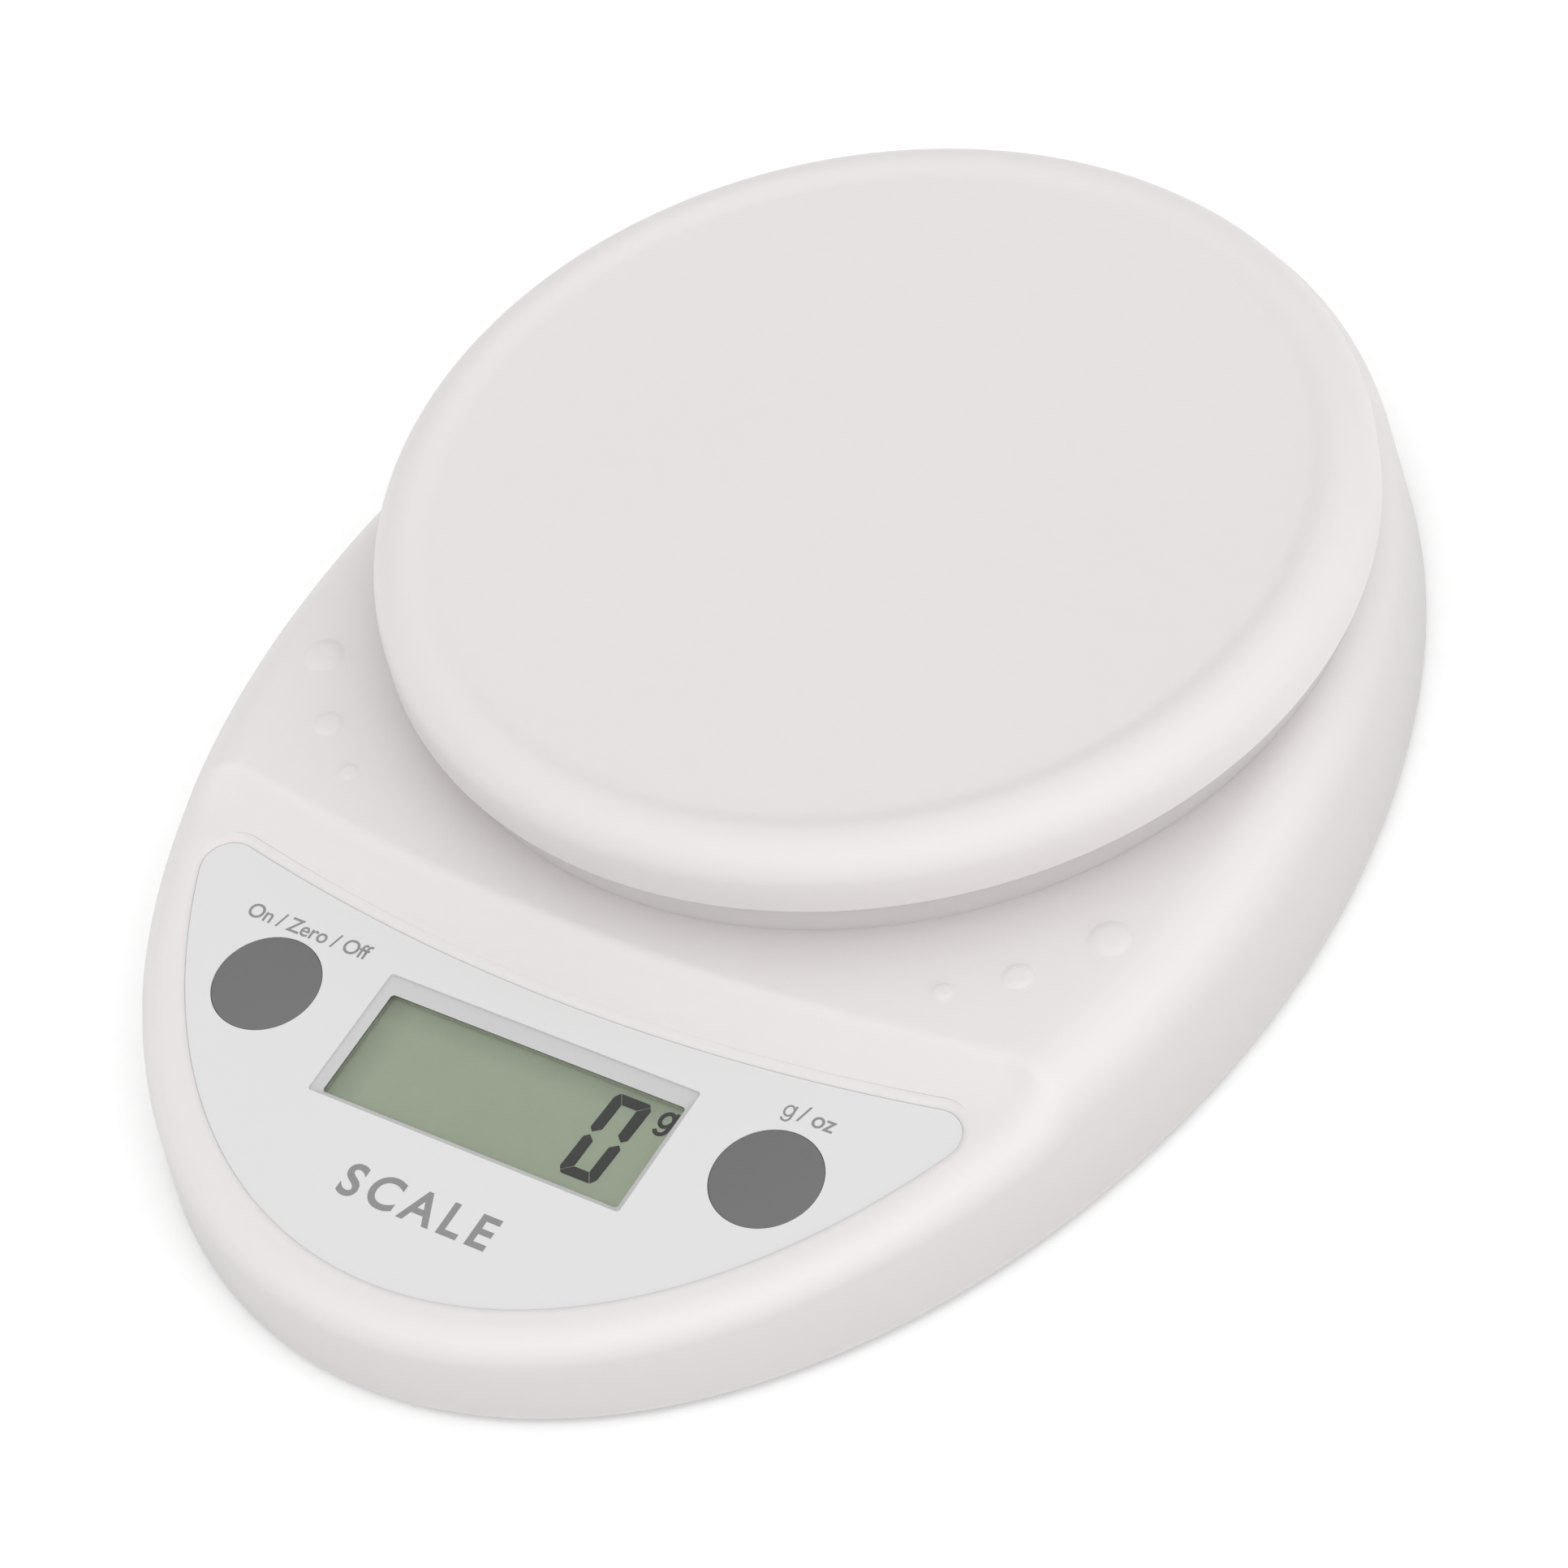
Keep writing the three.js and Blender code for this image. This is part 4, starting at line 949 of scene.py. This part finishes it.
# ------------------------------------------------------------------ platform
def platform_profile():
    skirt = PLATFORM_R - SKIRT_WALL
    underside = PAN_Z - PAN_WALL
    lip = 0.3
    foot = arc(skirt + lip, PLATFORM_EDGE_Z + lip, lip, 180, 270, 3)
    foot += arc(PLATFORM_R - lip, PLATFORM_EDGE_Z + lip, lip, 270, 360, 3)
    rim = arc(PLATFORM_R - RIM_R, RIM_Z - RIM_R, RIM_R, 0, 90, 18)
    crest = rim[-1][0]
    run = crest - PAN_R + PAN_SOFT
    fall = []
    for i in range(1, 13):
        height = PAN_Z + (RIM_Z - PAN_Z) * (0.5 + 0.5 * math.cos(math.pi * i / 12))
        fall.append((crest - run * i / 12, height))
    pan = [(radius, PAN_Z) for radius in (55, 45, 35, 25, 15, 7, 0)]
    inside = arc(skirt - RIM_R + 1, underside - RIM_R + 1, RIM_R - 1, 90, 0, 8)
    return [(0, underside)] + inside + foot + rim + fall + pan


def make_platform():
    platform = turned("platform_plate", platform_profile(), 256, (0, PLATFORM_Y))
    underside = PAN_Z - PAN_WALL
    places = ((44, 0), (-44, 0), (0, 44), (0, -44))
    pins = [bar("pin", 2, x, y + PLATFORM_Y, 33.5, underside + 0.5, 32) for x, y in places]
    join(platform, *pins)
    return finish(platform, "pan", "platform", ["weighing_platform"], 25)


# ------------------------------------------------------------------ underside
def cover_outline(inset):
    x, y = inset_points(np.linspace(0, math.pi, 120), inset)
    right = [(float(a), float(b)) for a, b in zip(x, y)]
    return right + [(-x, y) for x, y in right[1:-1][::-1]]


def make_cover():
    edge = 0.35
    lower = [(x, y, COVER_Z) for x, y in cover_outline(COVER_INSET + edge)]
    side = [(x, y, COVER_Z + edge) for x, y in cover_outline(COVER_INSET)]
    upper = [(x, y, COVER_TOP) for x, y in cover_outline(COVER_INSET)]
    cover = rings("cover_plate", [lower, side, upper])
    box = block("box", -BAY_X - BAY_WALL, BAY_X + BAY_WALL, BAY_FRONT - BAY_WALL, BAY_BACK + BAY_WALL,
                COVER_Z + 0.5, BAY_ROOF + BAY_WALL)
    plinth = block("plinth", -41, -12, PLATFORM_Y - 7.35, PLATFORM_Y + 7.35, COVER_Z + 1, 7.95)
    join(cover, box, plinth)
    cuts = [block("bay", -BAY_X, BAY_X, BAY_FRONT, BAY_BACK, 0, BAY_ROOF)]
    cuts.append(block("notch", -8, 8, BAY_BACK - 1, BAY_BACK + 3.4, 0, COVER_Z + 1))
    slot_front, slot_back = BAY_FRONT - BAY_WALL - 1, BAY_FRONT + 1
    for x in (-TAB_X, TAB_X):
        cuts.append(block("tab_slot", x - 4, x + 4, slot_front, slot_back, COVER_TOP, COVER_TOP + 4))
    for x, y in FEET:
        cuts.append(bar("foot_pocket", FOOT_R + 0.3, x, y, 0, COVER_Z + 1, 64))
    seat = COVER_Z + 1.2
    counterbore = [(0, 0), (3.4, 0), (3.4, COVER_Z), (3, COVER_Z + 0.4), (3, seat), (0, seat)]
    for x, y in BOSSES:
        cuts.append(bar("screw_hole", 1.8, x, y, 0, 6, 32))
        cuts.append(turned("counterbore", counterbore, 48, (x, y)))
    for x in CELL_HOLES:
        cuts.append(bar("cell_hole", 2.3, -x, PLATFORM_Y, 0, 12, 32))
        cuts.append(bar("cell_counterbore", 3.8, -x, PLATFORM_Y, 0, COVER_Z + 2.25, 48))
    for y in BATTERY_Y:
        cuts.append(block("contact_slot", -BAY_X - BAY_WALL - 1, -BAY_X + 1, y - 1.5, y + 1.5, 9.5, 13.5))
    cut(cover, *cuts)
    return finish(cover, "body", "base", ["bottom_cover"], 25)


def make_feet():
    names = ("foot_front_left", "foot_front_right", "foot_rear_left", "foot_rear_right")
    profile = [(0, 0.12), (2.6, 0.1), (3.4, 0)] + arc(FOOT_R - 0.7, 0.7, 0.7, 270, 360, 6)
    profile += [(FOOT_R, COVER_Z + 0.9), (0, COVER_Z + 0.9)]
    for name, (x, y) in zip(names, FEET):
        finish(turned(f"{name}_pad", profile, 64, (x, y)), "rubber", "base", [name], 40)


def cross_recess(x, y, z, depth, reach=1.5, width=0.55):
    """Cutters for a cross drive, open downwards."""
    first = block("cross", x - reach, x + reach, y - width / 2, y + width / 2, z - 1, z + depth)
    second = block("cross", x - width / 2, x + width / 2, y - reach, y + reach, z - 1, z + depth)
    return join(first, second)


def make_screw(node, profile, sides, place, drive, body="base", stand=Matrix()):
    """A screw in the place of a CAD node, with the hollow of its drive cut out."""
    screw = cut(turned(f"{node}_body", profile, sides, place), drive)
    finish(placed(screw, stand), "zinc", body, [node], 30)


def make_cover_screws():
    low, high = COVER_Z + 0.1, COVER_Z + 1.15
    head = [(0, low), (1.7, low), (2.35, low + 0.25), (2.6, low + 0.6), (2.6, high)]
    thread = []
    for i in range(14):
        z = high + 0.4 + i * 0.6
        thread += [(1.12, z), (1.4, z + 0.3)]
    profile = head + [(1.3, high)] + thread + [(0.5, 11.6), (0, 12)]
    for i, (x, y) in enumerate(BOSSES):
        make_screw(f"cover_screw_{i + 1}", profile, 40, (x, y), cross_recess(x, y, low, 0.7))


def make_cell_screws():
    """The two screws that hold the load cell, with hexagon sockets."""
    low, high = COVER_Z + 0.2, COVER_Z + 2.2
    profile = [(0, low), (3.1, low), (3.4, low + 0.3), (3.4, high), (2, high), (2, 16.6), (1.6, 17), (0, 17)]
    socket = [(0, low - 1), (1.75, low - 1), (1.75, low + 1.3), (0, low + 1.6)]
    for i, x in enumerate(CELL_HOLES):
        place = (-x, PLATFORM_Y)
        make_screw(f"load_cell_screw_{i + 1}", profile, 48, place, turned("socket", socket, 6, place))


def make_door():
    half = BAY_X - 0.4
    top = COVER_Z + DOOR_THICK
    back = BAY_BACK - 0.4
    side = [(HINGE_Y, top)] + arc(HINGE_Y, HINGE_Z, DOOR_THICK / 2, 90, 270, 12)[1:]
    side += arc(back - 0.3, COVER_Z + 0.3, 0.3, 270, 360, 3) + [(back, top)]
    loops = [[(x, y, z) for y, z in side] for x in (-half, half)]
    door = rings("door_panel", loops)
    extras = [block("tongue", -6, 6, BAY_BACK - 2.3, BAY_BACK - 1.1, top - 0.5, top + 2.8)]
    for x in (-TAB_X, TAB_X):
        low, high, tab_back = COVER_TOP + 0.3, COVER_TOP + 1.3, HINGE_Y + 1.4
        extras.append(block("tab", x - 3, x + 3, HINGE_Y - 2.6, tab_back, low, high))
        extras.append(block("web", x - 3, x + 3, HINGE_Y, tab_back, top - 0.5, high))
    join(door, *extras)
    low = COVER_Z - 1
    rows = np.arange(BAY_BACK - 6, BAY_BACK - 1.2, 1.4)
    grooves = [block("groove", -7, 7, y, y + 0.7, low, COVER_Z + 0.4) for y in rows]
    arrow = [(0, 66), (-2.6, 62.5), (-0.9, 62.5), (-0.9, 59), (0.9, 59), (0.9, 62.5), (2.6, 62.5)]
    cut(door, plate("arrow", arrow, low, COVER_Z + 0.3), *grooves)
    return finish(door, "body", "battery_door", ["battery_door"], 25)


# ------------------------------------------------------------------ batteries and their contacts
def make_batteries():
    low, high = -BATTERY_HALF, BATTERY_HALF
    foot = [(0, low + 0.25), (3.2, low + 0.25), (3.6, low), (5.6, low), (6.3, low + 0.35), (6.75, low + 0.5)]
    can = [(BATTERY_R, low + 0.9), (BATTERY_R, high - 0.7), (6.9, high - 0.35)]
    shoulder = [(6.3, high - 0.2), (6.2, high - 0.45), (3.6, high - 0.45), (3.4, high - 0.1)]
    nub = [(2.75, high - 0.1), (2.75, high + 0.7), (2.45, high + 1), (0, high + 1)]
    for name, side, y in (("front_battery", -1, BATTERY_Y[0]), ("rear_battery", 1, BATTERY_Y[1])):
        cell = turned(f"{name}_cell", foot + can + shoulder + nub, 72)
        turn = Matrix.Rotation(side * math.pi / 2, 4, "Y")
        placed(cell, Matrix.Translation(Vector((side * BATTERY_SHIFT, y, BATTERY_Z)) * MM) @ turn)
        finish(cell, "sleeve", "base", [name], 30)


def leaf(name, x, y0, y1):
    """A contact leaf of sheet steel with rounded corners, standing across X."""
    edge = rounded_rectangle(y0, y1, BATTERY_Z - 4.9, BATTERY_Z + 5.1, 1)
    return rings(name, [[(at, y, z) for y, z in edge] for at in (x, x + 0.4)])


def coil(side, y):
    """A conical battery spring that leans on the leaf at one side of the bay."""
    turns, steps = 2.6, 90
    path = []
    for i in range(steps + 1):
        part = i / steps
        angle = 2 * math.pi * turns * part
        radius = 4.2 - 1.6 * part
        x = side * (CONTACT_X - 0.62 - 1.4 * part)
        path.append((x, y + radius * math.cos(angle), BATTERY_Z + radius * math.sin(angle)))
    return tube("coil", path, 0.32, 10)


def tail(y):
    strip = block("tail", -BAY_X - BAY_WALL - 2.6, 0.2 - CONTACT_X, y - 1.2, y + 1.2, 11.2, 11.6)
    return cut(strip, bar("eye", 0.55, -BAY_X - BAY_WALL - 1.5, y, 10, 13, 24))


def make_contacts():
    front, rear = BATTERY_Y
    link = join(leaf("battery_link_leaf", CONTACT_X - 0.4, front - 5, rear + 5), coil(1, front))
    positive = join(leaf("positive_leaf", -CONTACT_X, front - 5, front + 5), tail(front))
    negative = join(leaf("negative_leaf", -CONTACT_X, rear - 5, rear + 5), tail(rear), coil(-1, rear))
    names = ("battery_link", "positive_terminal", "negative_terminal")
    for piece, node in zip((link, positive, negative), names):
        finish(piece, "steel", "base", [node], 30)


# ------------------------------------------------------------------ parts inside the housing
def make_board_parts():
    """Small parts soldered under the circuit board."""
    under = BOARD_TOP - BOARD_THICK
    left = ((-20, -6, 2, 1.2), (-16, -6, 2, 1.2), (-12, -6, 1.2, 2), (-20, 5, 2.6, 1.6), (-14, 5, 1.6, 1))
    right = ((18, -6, 2, 1.2), (22, -6, 2, 1.2), (20, 6, 3.2, 1.8), (26, 3, 1.2, 2.2))
    for i, (x, y, width, depth) in enumerate(left + right):
        loops = []
        for shrink, z in ((0.12, under - 0.75), (0, under - 0.63), (0, under - 0.02)):
            w, d = width / 2 - shrink, depth / 2 - shrink
            loops.append([(x - w, y - d, z), (x + w, y - d, z), (x + w, y + d, z), (x - w, y + d, z)])
        part = placed(rings(f"board_part_{i + 1}", loops), DISPLAY)
        finish(part, "epoxy", "base", ())


def make_board_screws():
    seat = BOARD_TOP - BOARD_THICK - 0.05
    thread = [p for i in range(7) for p in ((0.95, seat + 0.3 + i * 0.6), (0.75, seat + 0.6 + i * 0.6))]
    low = seat - 1.4
    head = [(0, low), (1.5, low), (2.0, seat - 1.15), (2.2, seat - 0.75), (2.2, seat), (0.85, seat)]
    profile = head + thread + [(0, -3.2)]
    for side, (x, y) in zip(("left", "right"), BOARD_POSTS):
        drive = cross_recess(x, y, low, 0.6, 1.1, 0.45)
        make_screw(f"board_screw_{side}", profile, 36, (x, y), drive, stand=DISPLAY)


def make_support_screws():
    """The two countersunk screws that hold the platform's support, with hexagon sockets."""
    seat, flat = SUPPORT_Z + 0.65, SUPPORT_Z + SUPPORT_THICK - 0.05
    low = CELL_Z + 3
    thread = [p for i in range(26) for p in ((2.0, low + 0.4 + i * 0.7), (1.75, low + 0.75 + i * 0.7))]
    profile = [(0, low), (1.6, low)] + thread + [(2, seat), (4, flat - 0.15), (3.9, flat), (0, flat)]
    socket = [(0, flat - 1.5), (1.5, flat - 1.3), (1.5, flat + 1), (0, flat + 1)]
    for i, x in enumerate(CELL_HOLES):
        place = (x, PLATFORM_Y)
        drive = turned("socket", socket, 6, place)
        make_screw(f"support_screw_{i + 1}", profile, 48, place, drive, "platform")


def repaint_inside():
    for node in ("load_cell", "support_spacer"):
        repaint(node, "aluminium", 0.3)
    repaint("platform_support", "black", 0.3)
    repaint("gauge_sealant", "sealant", 0.6)
    repaint("circuit_board", "board")
    repaint("controller_chip", "epoxy", round_steps=1)
    repaint("elastomer_connector", "elastomer", 0.2)
    for side in ("left", "right"):
        repaint(f"{side}_switch", "black", 0.25)
        repaint(f"{side}_switch_plunger", "key", 0.2)
    repaint("battery_lead_red", "red", round_steps=1)
    repaint("battery_lead_black", "dark", round_steps=1)
    repaint("load_cell_lead", "sealant", round_steps=1)


# ------------------------------------------------------------------ camera, lights, floor
CAMERA_AZIMUTH = math.radians(42.485)
CAMERA_ELEVATION = math.radians(46.4035)
CAMERA_ROLL = math.radians(13.871)
CAMERA_DISTANCE = 896.64  # from the platform's lower edge, along the view
CAMERA_ASIDE = -12.39
CAMERA_RISE = -33.69
LENS = 154.79  # for a sensor 36 mm wide


def add_camera():
    a, e, roll = CAMERA_AZIMUTH, CAMERA_ELEVATION, CAMERA_ROLL
    right = Vector((math.cos(a), math.sin(a), 0))
    back = Vector((math.sin(a) * math.cos(e), -math.cos(a) * math.cos(e), math.sin(e)))
    up = back.cross(right)
    right, up = right * math.cos(roll) - up * math.sin(roll), right * math.sin(roll) + up * math.cos(roll)
    target = Vector((0, PLATFORM_Y, PLATFORM_EDGE_Z))
    place = (target + right * CAMERA_ASIDE + up * CAMERA_RISE + back * CAMERA_DISTANCE) * MM
    data = bpy.data.cameras.new("camera")
    data.sensor_width = 36
    data.lens = LENS
    data.clip_start = 0.01
    camera = in_scene("camera", data)
    camera.matrix_world = Matrix.Translation(place) @ Matrix((right, up, back)).transposed().to_4x4()
    bpy.context.scene.camera = camera


SKY_EVEN = 0.635
SKY_ABOVE = 0.47
SKY_LOBES = {0: 0.45, 45: 0.22, 225: 0.09, 270: 0.33, 315: 0.56}  # by azimuth, in degrees
LOBE_HEIGHT = math.radians(30)


def add_sky():
    """A tent of soft light: even, stronger overhead, with wide soft lobes from the sides."""
    world = bpy.data.worlds.new("studio")
    world.use_nodes = True
    sky = Tree(world.node_tree)
    place = sky.add("ShaderNodeTexCoord").outputs["Generated"]

    def lobe(direction, power, strength):
        """Light that falls off away from a direction."""
        node = sky.add("ShaderNodeVectorMath", Vector=place)
        node.operation = "DOT_PRODUCT"
        node.inputs[1].default_value = direction
        facing = sky.maths("MAXIMUM", node.outputs["Value"], 0.0)
        return sky.maths("MULTIPLY", sky.maths("POWER", facing, power), strength)

    total = sky.maths("ADD", lobe((0, 0, 1), 2, SKY_ABOVE), SKY_EVEN)
    for azimuth, strength in SKY_LOBES.items():
        a, e = math.radians(azimuth), LOBE_HEIGHT
        direction = (math.cos(a) * math.cos(e), math.sin(a) * math.cos(e), math.sin(e))
        total = sky.maths("ADD", total, lobe(direction, 4, strength))
    background = world.node_tree.nodes["Background"]
    background.inputs["Color"].default_value = (1, 1, 1, 1)
    sky.put(background.inputs["Strength"], total)
    bpy.context.scene.world = world


def add_studio():
    floor = block("floor", -4000, 4000, -4000, 4000, -20, 0)
    nodes = Nodes("floor_paper")
    grain = nodes.noise(3, 4)
    nodes.set(Base_Color=nodes.mix(nodes.ramp(grain, 0, 1), (0.90, 0.90, 0.90, 1), (0.92, 0.92, 0.92, 1)))
    nodes.set(Roughness=0.9, Emission_Color=(1, 1, 1, 1), Emission_Strength=0.09)
    floor.data.materials.append(nodes.material)
    add_sky()
    bpy.context.scene.view_settings.view_transform = "Standard"


# ------------------------------------------------------------------ the whole scale
add_camera()
add_studio()
make_housing()
make_film()
for key_side in (-1, 1):
    make_key(key_side)
make_display()
make_labels()
make_platform()
make_cover()
make_feet()
make_cover_screws()
make_cell_screws()
make_door()
make_batteries()
make_contacts()
make_board_parts()
make_board_screws()
make_support_screws()
repaint_inside()
